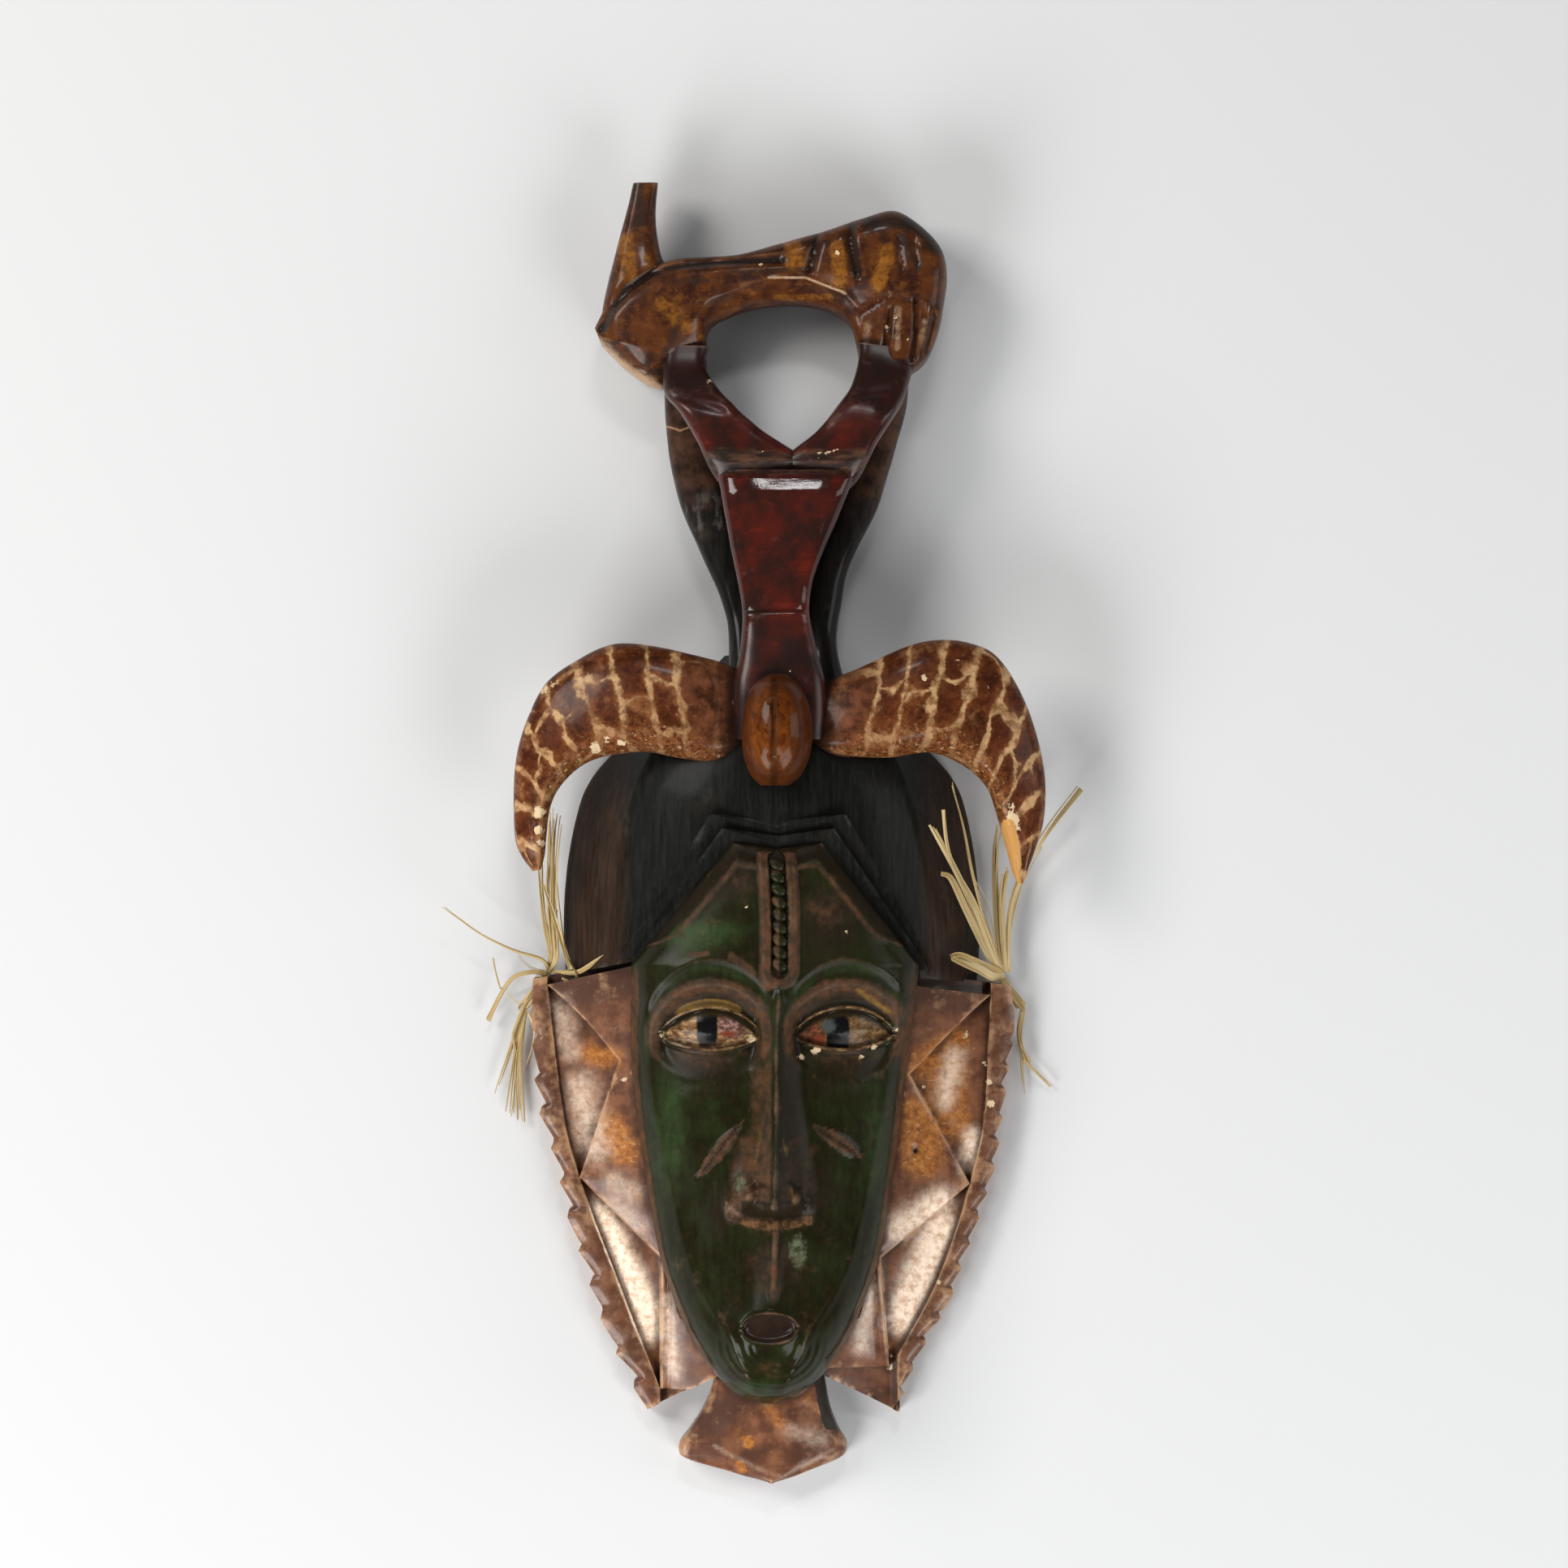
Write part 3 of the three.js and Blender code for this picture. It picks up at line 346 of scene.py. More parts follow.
def strip_out(x, y):
    """Distance out from the middle line of the brow strip, and round its foot."""
    return np.where(y < STRIP["foot"], np.hypot(x, y - STRIP["foot"]), np.abs(x))


def strip(x, y):
    """The brow strip: a U-shaped raised border round a sunk channel."""
    out, inner, outer = strip_out(x, y), STRIP["from"], STRIP["to"]
    border = rise(inner - 0.4, inner + 0.6, out) * rise(outer + 0.9, outer - 0.8, out)
    channel = rise(inner + 0.2, inner - 0.8, out)
    return rise(HAIRLINE_Y - 1, STRIP["top"], y) * (1.3 * border - 0.9 * channel)


def mouth(x, y):
    """A soft round muzzle, a shallow oval mouth in a thin rim, and the chin under it with fine rings."""
    dx, dy = x - MOUTH["x"], y - MOUTH["y"]
    muzzle = 4.0 * bump(np.hypot(dx / 1.5, dy), 13)
    outside = out_of(dx, dy, MOUTH)
    rim = 0.7 * bump(outside - 0.7, 0.8)
    lips = within(dx, MOUTH) * (rim - 1.5 * rise(0.2, -1.6, outside) - 1.2 * rise(-1, -5, outside))
    chin = 2.4 * bump(np.hypot(dx / 1.35, dy + 19), 17)
    middle, height = CHIN_RINGS
    from_ring = np.hypot(0.86 * (x - middle), y - height)
    band = rise(24, 17, from_ring) * rise(5, 8, from_ring) * rise(height + 3, height - 3, y)
    rings = 0.2 * np.sin(2 * np.pi * from_ring / 2.7) * band
    return muzzle + lips + chin + rings


def scar_leaf(x, y, ends):
    """Height of a leaf between two ends, from 0 at its outline to 1 at its middle, and the distance from its
    middle line."""
    (x0, y0), (x1, y1) = ends
    length = np.hypot(x1 - x0, y1 - y0)
    ahead = ((x - x0) * (x1 - x0) + (y - y0) * (y1 - y0)) / length
    aside = ((y - y0) * (x1 - x0) - (x - x0) * (y1 - y0)) / length
    half = SCAR_HALF_WIDTH * np.maximum(0, 1 - (2 * ahead / length - 1) ** 2)
    leaf = np.where(half > 0, 1 - (aside / np.maximum(half, 0.05)) ** 2, 0)
    return np.maximum(0, leaf), aside


def nose_frame(x, y):
    """1 on the flat band that comes down beside the nose and runs along under it."""
    return rise(3.2, 1.2, to_path(x, y, NOSE_FRAME)) * rise(-138, -150, y - 0.3 * x)


def face_surface(x, y, to_edge=30.0):
    """Height of the face: a superellipse arch across, with a soft arris at its sides and a bevel along the
    hairline, and the features on it. to_edge is the distance to the hairline."""
    half = half_width_of_face(y)
    across = np.minimum(1, np.abs(x - along(FACE_CENTRE, y)) / half)
    low = along(EDGE_HEIGHT, y)
    body = low + (along(MIDDLE_HEIGHT, y) - low) * np.sqrt(np.maximum(0, 1 - across**2.7))
    arris = 1.1 * bump((across - along(ARRIS, y)) * half, 3.0) * rise(-40, -75, y)
    bevel = -2.2 * rise(5.6, 0.3, to_edge) + 0.4 * bump(to_edge - 6.6, 2.2)
    mid = x - along(FEATURE_LINE, y)
    fade = rise(1, 0.9, across)
    philtrum = 1.5 * bump(mid - 1.2, 1.7) * rise(-197, -189, y) * rise(-161, -166, y)
    hollows = -2 * bump(np.abs(mid) - 8, 5) * bump(y + 181, 16)
    eyes = eye(np.abs(mid) - EYE["x"], y - EYE["y"]) * rise(2, 5, np.abs(mid))
    knob = np.hypot(x - EYE_KNOB[0], y - EYE_KNOB[1])
    knob_ring = 1.1 * bump(knob - 1.8, 0.9) - 0.4 * bump(knob, 0.9)
    scars = 0
    for ends in SCARS:
        leaf, aside = scar_leaf(x, y, ends)
        scars = scars + np.sqrt(leaf) * (1.0 - 1.6 * bump(aside, 0.75))
    features = eyes + strip(mid, y) + philtrum + hollows + mouth(x, y) + scars + 0.4 * nose_frame(x, y)
    return body + bevel + fade * (arris + features) + knob_ring + nose(mid, y)


ROW_STOPS = [
    CHIN_Y, MOUTH["y"] - 13, MOUTH["y"] - 2, MOUTH["y"] + 3, MOUTH["y"] + 13, NOSE_FOOT_Y - 2,
    NOSE_FOOT_Y + 15, EYE["y"] - 22, EYE["y"] - 2, EYE["y"] + 3, EYE["y"] + 22, HAIRLINE_Y,
]
ROW_COUNTS = [26, 12, 13, 12, 30, 27, 38, 20, 22, 20, 64]
FACE_ROWS = runs(*zip(ROW_STOPS, ROW_STOPS[1:], ROW_COUNTS))
NEAR_COLUMNS = np.linspace(0, 13.5, 19)
FAR_COLUMNS = runs((0, 0.88, 38), (0.88, 1, 7))[1:]
FULL_WIDTH = 30.0


def parted(level, shape, open_by, reach):
    """Moves a level inside an opening so that the levels -2 and 3 lie on its lower and upper edges."""
    upper = shape["lift"] * open_by + 1
    lower = -shape["drop"] * open_by - 0.8
    above = upper + (level - 3) * (reach - upper) / (reach - 3)
    below = lower + (level + 2) * (-reach - lower) / (2 - reach)
    inside = mix(lower, upper, (level + 2) / 5)
    return np.where(level > 3, above, np.where(level < -2, below, inside))


def row_height(row, mid):
    """Rows part round the eyes and the mouth, so that the edges of the lids and lips are clean."""
    at_eye, at_mouth = row - EYE["y"], row - MOUTH["y"]
    eyes = EYE["y"] + parted(at_eye, EYE, opening(np.abs(mid) - EYE["x"], EYE), 22)
    lips = MOUTH["y"] + parted(at_mouth, MOUTH, opening(mid, MOUTH), 13)
    return np.where(np.abs(at_eye) < 22, eyes, np.where(np.abs(at_mouth) < 13, lips, row))


def hairline_dip(t, row):
    """How far the hairline dips, t across: most in the middle, falling evenly to nothing at its ends."""
    return HAIRLINE_DIP * (1 - np.abs(t)) * rise(-40, HAIRLINE_Y, row)


# Distance square to the slanted hairline, for each unit across.
HAIRLINE_SLANT = 0.775


def face():
    """The face over its rows and columns, with its raised middle line kept on a column."""
    row = FACE_ROWS[:, None]
    centre, half, line = along(FACE_CENTRE, row), half_width_of_face(row), along(FEATURE_LINE, row)
    near = NEAR_COLUMNS * np.minimum(1, half / FULL_WIDTH)
    sides = []
    for sign in (-1, 1):
        room = sign * (centre - line) + half
        far = mix(near[:, -1:], room, FAR_COLUMNS)
        sides.append(sign * np.concatenate([near, far], axis=1))
    mid = np.concatenate([sides[0][:, ::-1], sides[1][:, 1:]], axis=1)
    x = line + mid
    t = (x - centre) / half
    y = row_height(row, mid) - hairline_dip(t, row)
    slanted = HAIRLINE_SLANT * (1 - np.abs(t)) * half + 30 * rise(TEMPLE_Y + 14, TEMPLE_Y - 6, row)
    to_edge = np.minimum(slanted, HAIRLINE_Y - row)
    return slab(x, y, face_surface(x, y, to_edge), "face_paint")


BEAD_SLANT = -0.62


def beads():
    """The beads of the brow strip: slanting knobs half sunk in its channel, like the strands of a rope."""
    pitch = (STRIP["top"] - STRIP["foot"]) / STRIP["beads"]
    section = outline(2.0, 16)
    t = np.linspace(-1, 1, 11)[:, None]
    girth = np.sqrt(1 - (0.97 * t) ** 2)
    ahead = np.array([np.cos(BEAD_SLANT), np.sin(BEAD_SLANT)])
    made = []
    for i in range(STRIP["beads"]):
        y = STRIP["foot"] + pitch * (i + 0.4)
        x = along(FEATURE_LINE, y)
        z = float(face_surface(x, y))
        aside = section[None, :, 0] * 0.5 * pitch * girth
        px = x + 3.7 * t * ahead[0] - aside * ahead[1]
        py = y + 3.7 * t * ahead[1] + aside * ahead[0]
        pz = z + 0.4 + section[None, :, 1] * 2.2 * girth
        made.append(tube(np.stack([px, py, pz], -1), "face_paint"))
    return made


BAND_RISE = 6.0


def hairline_band(step):
    """A hairline band: the upper outline of the face grown by one step, and one step lower."""
    row = runs((-62, -14, 26), (-14, HAIRLINE_Y, 10))[:, None]
    t = np.linspace(-1, 1, 61)[None, :]
    up = above_temples(row)
    x = along(FACE_CENTRE, row) + t * (half_width_of_face(row) + step * (3.2 + 1.6 * up))
    y = row - hairline_dip(t, row) + step * BAND_RISE * up
    z = along(EDGE_HEIGHT, row) + 1.5 * up - step * HAIR_BAND_DROP
    return slab(x, y, z, "hair_paint")


# Hair

HAIR_CENTRE = -1.4
HAIR_HALF_WIDTH = [
    (-75, 86.5), (-59, 87.4), (-40, 88.5), (-27, 88.1), (-13, 86.8), (1, 84.5), (15, 81), (24, 76.5),
    (34, 68), (50, 51), (65, 31), (76, 20),
]
FACET_HALF_WIDTH = [(-75, 70), (-36, 66.8), (8, 59.7), (33, 51.2), (50, 37), (65, 22), (76, 14)]
HAIR_HEIGHT = [(-75, 52), (-20, 55), (15, 56), (35, 54), (50, 49), (65, 40), (76, 26)]


def hair():
    """The hair: a dome from the collar to the crown, flat down its sides to an edge and smoothly curved
    between the two edges."""
    y = np.linspace(-75, 76, 62)
    base, edge, top = (along(knots, y)[:, None] for knots in (HAIR_HALF_WIDTH, FACET_HALF_WIDTH, HAIR_HEIGHT))
    down = np.linspace(0, 1, 17)[None, :]
    over = np.linspace(0, 1, 22)[None, 1:]
    side_x, side_z = mix(base, edge, down), mix(5, 0.68 * top, down)
    arch_x, arch_z = edge * (1 - over), top * (0.68 + 0.32 * (1 - (1 - over) ** 2.2))
    x = np.concatenate([base, side_x, arch_x], axis=1)
    z = np.concatenate([0 * base, side_z, arch_z], axis=1)
    right = np.stack([HAIR_CENTRE + x, np.broadcast_to(y[:, None], x.shape), z], -1)
    left = right * np.array([-1, 1, 1]) + np.array([2 * HAIR_CENTRE, 0, 0])
    return tube(np.concatenate([right, left[:, -2::-1]], axis=1), "hair_paint")


# Collar. Each wing has a saw-toothed rim outside a border line, and a zigzag ridge inside it. The ground
# between border and zigzag is cut down, and the facets between the zigzag and the face stand up. "teeth" is
# how many there are, "depth" is how far they are cut in, and "top" is how much the upper edge is lifted at
# its inner and at its outer end. Cream, orange and dark are patches along lines: (line, reach, share).

# The cream patches are pale rubbed stain, and on the lower pockets also a painted sheen.
WINGS = {
    -1: {
        "edge": [
            (-244.2, 56), (-228.7, 62.6), (-214.2, 70.8), (-197.7, 76.7), (-181.5, 81.8), (-166, 87),
            (-147, 91.5), (-129.8, 96), (-114, 100.8), (-97.4, 102.5), (-80.6, 103.2),
            (COLLAR_TOP_Y, 102.6),
        ],
        "border": [(-234.9, 48.8), (-186.8, 67.3), (-145.2, 82.8), (-120.8, 89.3), (-64.5, 96.5)],
        "zigzag": [(-234.9, 48.8), (-178.6, 48.8), (-145.2, 82.8), (-95.4, 65.9), (-64.5, 96.5)],
        "teeth": 11,
        "depth": 3,
        "top": (12, 0),
        "cream": [
            ([(-82, -108), (-77, -132)], 9.5, 0.5), ([(-91, -74), (-87, -92)], 7, 0.42),
            ([(-68, -157), (-58, -165)], 6.5, 0.36), ([(-68, -146), (-60, -152)], 6.5, 0.4),
            ([(-76, -164), (-66, -184), (-55, -208)], 8.5, 1.25), ([(-46, -196), (-43, -228)], 4, 0.5),
        ],
        "orange": [
            ([(-78, -93), (-69, -94)], 6, 0.95), ([(-69, -124), (-63, -134)], 7.5, 1.05),
            ([(-58, -206), (-53, -222)], 4.5, 0.6), ([(-52, -176), (-48, -190)], 4, 0.5),
        ],
        "dark": [
            ([(-90, -66), (-56, -60)], 12, 0.95), ([(-52, -84), (-50, -120)], 6, 0.5),
            ([(-36, -222), (-34, -240)], 5, 0.6),
        ],
    },
    1: {
        "edge": [
            (-244.2, 52.2), (-225.9, 59.1), (-212.1, 66), (-201.1, 72.9), (-178, 81.2), (-159.1, 87.7),
            (-141.5, 93.2), (-108.5, 98.1), (-77.8, 101.5), (COLLAR_TOP_Y, 99.9),
        ],
        "border": [(-221.2, 51.9), (-188.2, 69.1), (-148, 82.5), (-119.1, 88.7), (-66.2, 91.4)],
        "zigzag": [(-225.3, 48.5), (-178.6, 45), (-148, 82.5), (-100.9, 57.1), (-66.2, 91.4)],
        "teeth": 15,
        "depth": 2.2,
        "top": (4, -3),
        "cream": [
            ([(84, -128), (82, -140)], 5, 0.75), ([(76, -94), (72, -112)], 6, 0.6),
            ([(52, -166), (70, -156)], 8, 0.75), ([(70, -166), (62, -184), (53, -206)], 7.5, 1.05),
            ([(40, -190), (36, -216)], 5, 0.5),
        ],
        "orange": [
            ([(60, -118), (62, -136)], 10, 1.2), ([(58, -98), (76, -88)], 7, 1.1),
            ([(72, -100), (74, -122)], 10, 1.1), ([(56, -204), (50, -216)], 4, 0.5),
        ],
        "dark": [
            ([(60, -66), (86, -70)], 10, 0.8), ([(48, -100), (46, -140)], 4, 0.5),
            ([(26, -232), (46, -240)], 8, 0.7),
        ],
    },
}
COLLAR_CENTRE = -1.3
TEETH_TOP_Y = -85.0
WING_TIP_Y = -245.0
LOWER_EDGE_SLOPE = 0.47
INNER_EDGE = [(WING_TIP_Y, 15), (-213.8, 24), (-176, 38), (-110, 48), (COLLAR_TOP_Y, 50)]
ROOT_HEIGHT = [(WING_TIP_Y, 15), (-229, 20), (-180, 25), (-110, 28), (-80, 31), (COLLAR_TOP_Y, 33)]
RIM_HEIGHT = [(WING_TIP_Y, 11), (-200, 13), (-100, 14), (COLLAR_TOP_Y, 14)]
GROUND_DROP = 4.3
FACET_RISE = 0.8


def zigzag_of(wing, y):
    """Where the zigzag ridge runs: straight stretches between its corners."""
    at, value = np.array(wing["zigzag"]).T
    return np.interp(y, at, value)


def wing_height(wing, x, y):
    """Height of the uncut wing: it falls from the face to the border line."""
    inner, border = along(INNER_EDGE, y), along(wing["border"], y)
    q = np.clip((x - inner) / (border - inner), 0, 1)
    return mix(along(ROOT_HEIGHT, y), along(RIM_HEIGHT, y), q)


def top_lift(wing, x, y):
    """How far the top of the wing is lifted, to a slanting upper edge."""
    up_inside, up_outside = wing["top"]
    return rise(-100, COLLAR_TOP_Y, y) * mix(up_inside, up_outside, np.clip((x - 50) / 50, 0, 1))


def wing_forms(side):
    """The ground, the facets and the toothed rim of one wing, each a slab over a grid of rows up the wing and
    columns across it."""
    wing = WINGS[side]

    def placed(x, y, z):
        return slab(side * x, y + top_lift(wing, x, y), z, "collar_stain")

    y = runs((WING_TIP_Y, COLLAR_TOP_Y, 110))[:, None]
    inner, border, ridge = along(INNER_EDGE, y), along(wing["border"], y), zigzag_of(wing, y)
    x = mix(inner, border + 1, np.linspace(0, 1, 25)[None, :])
    from_ridge = np.clip((x - ridge) / np.maximum(border - ridge, 3), 0, 1)
    dish = GROUND_DROP - 2.9 * from_ridge**1.3
    ground = placed(x, y, wing_height(wing, x, y) - dish)

    knots = [at for at, _ in wing["zigzag"]]
    y = runs(*[(a, b, max(4, int((b - a) / 1.5))) for a, b in zip(knots[:-1], knots[1:])])[:, None]
    inner, ridge = along(INNER_EDGE, y), zigzag_of(wing, y)
    t = np.append(np.linspace(0, 1, 22), [1.0])[None, :]
    inset = np.append(np.full(21, 0.0), [0.7, 0.0])[None, :]
    x = mix(inner, ridge, t) - inset
    crown = 0.7 * np.sin(np.pi * np.clip(t, 0, 1))
    groove = 0.9 * bump(ridge - x - 3.4, 0.9) * rise(-172, -182, y)
    z = wing_height(wing, x, y) + FACET_RISE + crown - groove - np.append(np.zeros(22), [0.55])[None, :]
    facets = placed(x, y, z)

    pitch = (TEETH_TOP_Y - WING_TIP_Y) / wing["teeth"]
    y = runs((WING_TIP_Y, TEETH_TOP_Y, wing["teeth"] * 10 + 1), (TEETH_TOP_Y, COLLAR_TOP_Y, 16))[:, None]
    number = np.floor((y - WING_TIP_Y) / pitch)
    phase = (y - WING_TIP_Y) / pitch - number
    in_teeth = rise(TEETH_TOP_Y + 4, TEETH_TOP_Y - 2, y)
    uneven = 1 + 0.35 * np.sin(2.4 * number + side)
    tooth = np.interp(phase, [0, 0.7, 0.86, 1], [0, 1, 0.45, 0])
    border = along(wing["border"], y)
    edge = along(wing["edge"], y) - wing["depth"] * uneven * (1 - tooth) * in_teeth
    across = np.linspace(0, 1, 10)[None, :]
    x = mix(border, edge, across)
    facet = 0.7 * in_teeth * (0.5 - phase) * across
    z = along(RIM_HEIGHT, y) + 0.6 * np.sin(np.pi * across) - 1.6 * across**3 - facet
    rim = placed(x, y, z)
    return ground, facets, rim


def below_wings():
    """Blocks that cut the lower edge of each wing, from its tip up to the chin."""
    made = []
    for side in (-1, 1):
        angle = -side * LOWER_EDGE_SLOPE
        tip = np.array([side * WINGS[side]["edge"][0][1], WING_TIP_Y])
        square = np.array([(-40, 0), (40, 0), (40, -60), (-40, -60)], float)
        turned = square @ np.array([[np.cos(angle), np.sin(angle)], [-np.sin(angle), np.cos(angle)]]) + tip
        levels = [np.column_stack([turned, np.full(4, z)]) for z in (-40.0, 40.0)]
        made.append(tube(np.array(levels), "collar_stain"))
    return made


# Bib

BIB_HALF_WIDTH = [
    (BIB_TIP_Y, 1), (-271, 15), (-262.5, 35), (-259.5, 35.4), (-252, 31), (-240, 25.5),
    (BIB_TOP_Y, 21.5),
]
BIB_SECTION = [
    (-1, -14), (-1, -3), (-0.94, -1.2), (-0.5, 1.2), (0, 2.2), (0.5, 1.2), (0.9, -1.2), (1, -5),
    (1.05, -14),
]


def bib_centre(y):
    """The middle line of the plate: it moves to the left on its way down, and back again at the tip."""
    return mix(-5.5, -2.6, rise(-262, -230, y)) + 4 * rise(-262, BIB_TIP_Y, y)


def across_bib(x, y):
    """Where a point lies across the plate, from -1 at its left edge to 1 at its right edge."""
    return (x - bib_centre(y)) / along(BIB_HALF_WIDTH, y)


def bib():
    """The pointed plate under the chin: its section is a low ridge with a steep right side."""
    y = runs((BIB_TIP_Y, -271, 8), (-271, -262.5, 12), (-262.5, BIB_TOP_Y, 34))[:, None]
    height = mix(13, 19, rise(BIB_TIP_Y, -230, y))
    across, lift = np.array(BIB_SECTION).T
    at = np.arange(len(across))
    share = runs((1, 2, 4), (2, 6, 36), (6, 7, 5), (7, 7.4, 3))
    x = bib_centre(y) + np.interp(share, at, across)[None, :] * along(BIB_HALF_WIDTH, y)
    z = height + np.interp(share, at, lift)[None, :]
    return slab(x, y, z, "collar_stain")


# Horns, from root to tip. The left edge of each station is the outer edge of the left horn and the inner edge
# of the right one.

HORNS = {
    -1: [
        (-6, 60, -8, 40, 36, 50), (-17.6, 70.3, -22.4, 30.2, 30, 58), (-35.6, 75.8, -36.3, 31.6, 30, 62),
        (-56.4, 79.9, -52.6, 34.7, 29, 62), (-69.6, 79.5, -64.5, 34, 28, 60),
        (-82.2, 73.7, -74.7, 31.9, 27, 58), (-96.1, 63.5, -83.2, 27.2, 27, 55),
        (-105, 45.5, -90.7, 19.4, 27, 52), (-109, 29.2, -94.4, 11.2, 27, 49),
        (-109.7, 9.8, -95.8, 1.3, 27, 46), (-108.3, -5.1, -96.5, -8.2, 28, 43),
        (-101.9, -15.3, -98.2, -14.6, 33, 38),
    ],
    1: [
        (10, 42, 8, 54, 36, 50), (22.8, 33.3, 18.8, 62.8, 30, 58), (35.7, 32.6, 35.7, 70.3, 30, 62),
        (49.3, 32.6, 54.1, 78.5, 29, 62), (62.9, 34.7, 67.7, 81.6, 28, 60),
        (73.8, 31.6, 81.3, 80.5, 27, 58), (82.6, 26.2, 92.8, 75.1, 27, 56), (88.8, 19.4, 103, 60.1, 27, 54),
        (92.2, 10.5, 109.2, 43.8, 27, 52), (94.5, 3, 113.2, 25.1, 27, 49), (96.9, -5.4, 112.9, 6.4, 27, 46),
        (99.6, -15.6, 108.5, -8.8, 29, 42), (102, -20.4, 104.1, -20.4, 34, 37),
    ],
}
HORN_GIRTH = 86.0


def horn(side):
    """A horn: a section with a crest line a third of the way across from its inner edge. Its uv runs along
    it, and round it from the middle of its underside by its inner edge."""

    def lean(a, b):
        lower = 1 - 0.16 * np.minimum(1, np.abs(a + side * 0.42))
        return a - side * 0.3 * np.maximum(0, b) * (1 - a * a), b * lower

    made = between(HORNS[side], outline(2.3, 50, lean), 92, "horn_paint", girth=HORN_GIRTH)
    if side > 0:
        made["uv"][:, 1] = HORN_GIRTH - made["uv"][:, 1]
    return made


# Crest: an upside-down figure whose raised legs carry an animal, with two straps behind it.

HEAD = [
    (-3, 67, 5, 67, 50, 68), (-8.8, 62.5, 10.4, 62.5, 46, 75.2), (-12.4, 54.5, 14.2, 54.5, 45, 79.5),
    (-13.6, 44, 15.6, 44, 45, 81), (-13.2, 34, 14.8, 34, 45, 79.5), (-10.4, 25.5, 11.2, 25.5, 46, 75),
    (-6, 20.8, 6, 20.8, 52, 67),
]
FIGURE = {
    "back": [
        (-17.6, 40, 21.4, 40, 30, 60), (-17.6, 60.7, 21.4, 60.7, 34, 60),
        (-14.5, 77.7, 17.4, 77.7, 37, 58.4), (-13.8, 94.3, 14.3, 95, 36, 57),
        (-17.2, 113.3, 18, 112.6, 34, 58), (-21.2, 135, 27.2, 134, 33, 60),
        (-24.6, 152.4, 34, 152.4, 33, 60.4),
    ],
    "left_leg": [
        (-14, 138, 8, 147, 38, 50), (-24.1, 147.6, 12, 157, 34, 56), (-32.9, 164.6, -6.7, 170.4, 31, 55.6),
        (-39.7, 176.5, -16.9, 179.9, 29, 54.2), (-46.5, 185.3, -23.8, 187.4, 26, 48.5),
        (-46.9, 196.9, -29.2, 196.9, 22, 41), (-45.9, 205.4, -28.2, 205.4, 18, 38),
    ],
    "right_leg": [
        (3, 147, 22, 138, 38, 50), (3.5, 157, 33.1, 146.5, 34, 56), (18.1, 169.7, 41.9, 162.2, 31, 55.6),
        (26.9, 180.6, 49.4, 173.8, 29, 54.2), (32, 188.7, 54.1, 183.3, 26, 48.5),
        (35.1, 200.3, 57.5, 194.2, 22, 41), (35.1, 207.1, 56.9, 203.7, 18, 38),
    ],
}
STRAPS = [
    [
        (-20.3, 55, -1.7, 55, 4, 40), (-19.6, 81.9, -5.1, 81.9, 4, 30), (-23, 100.1, -8.6, 100.1, 3, 26),
        (-30.9, 118, -13.7, 119.8, 2, 24), (-40.2, 139.7, -20.6, 143.8, 1, 23),
        (-44.7, 159.3, -25.1, 164.5, 1, 24), (-46.8, 179.9, -27.8, 183.4, 2, 26),
        (-46.4, 202.3, -29.2, 202.3, 4, 28),
    ],
    [
        (3.5, 55, 32.7, 55, 4, 40), (7.9, 78.5, 26.2, 78.5, 4, 30), (10.3, 99.1, 28.2, 99.1, 3, 26),
        (15.5, 116.3, 32, 114.9, 2, 24), (25.1, 140.4, 43, 137.6, 1, 23), (32, 166.2, 51.3, 164.5, 1, 24),
        (36.1, 188.5, 55.7, 181.6, 2, 26), (36.8, 205.7, 56.8, 204, 4, 28),
    ],
]
WAIST_Y = 94.0
KNEES = [[(-42, 183), (-22, 177)], [(29, 182), (47, 186)], [(45, 178), (51, 187)]]


def carve_back(x, y):
    """The figure's back: a step at the waist, and a facet that falls away to the crease of the hips."""
    waist = 0.8 * bump(y - WAIST_Y - 0.04 * x, 1.0) - 0.7 * bump(y - WAIST_Y + 2.2, 1.4)
    over = np.clip(y - 142.5, 0, 8.8)
    return waist + 0.32 * over + 0.0036 * over**2 + 1.6 * rise(149.6, 152, y)


def carve_legs(x, y):
    """The legs: a crease at each knee, and a soft edge up from the crease of the hips."""
    knees = sum(0.7 * bump(to_path(x, y, path), 1.7) for path in KNEES)
    return knees + 1.8 * rise(156, 152.6, y)


def carve_head(x, y):
    """The figure's head: an upright slit with a thin ridge beside it."""
    inside = rise(28, 36, y) * rise(62, 52, y)
    return inside * (1.2 * bump(x + 0.6, 0.9) - 0.9 * bump(x - 1.2, 0.9))


# The animal: a thick body arched over the opening, with its raised tail on the left and its bowed head on the
# right. Its back and the top of its head are the left edge of each station.

ANIMAL_BODY = [
    (-76.1, 213.7, -73.3, 206.8, 8, 32), (-69.5, 225, -61.7, 195.5, 4, 38),
    (-58.2, 235.9, -46.9, 188, 3, 40), (-44.2, 242.1, -30.5, 199.3, 3, 41),
    (-27.4, 243.5, -28.4, 212, 3, 41), (-13.7, 244.9, -21.2, 217.8, 3, 41),
    (4.8, 249.7, -8.5, 222.2, 3, 41), (22.3, 254.8, 7.9, 223.6, 3, 41), (36.7, 259.3, 22.3, 220.9, 3, 42),
    (53.2, 262, 31.9, 214.7, 3, 42), (71.3, 244.5, 35, 204.4, 3, 42), (70.3, 218.8, 36, 196.5, 4, 42),
    (65.1, 201.7, 41.2, 193.1, 6, 40), (57.3, 194.1, 48, 192.1, 10, 34),
]
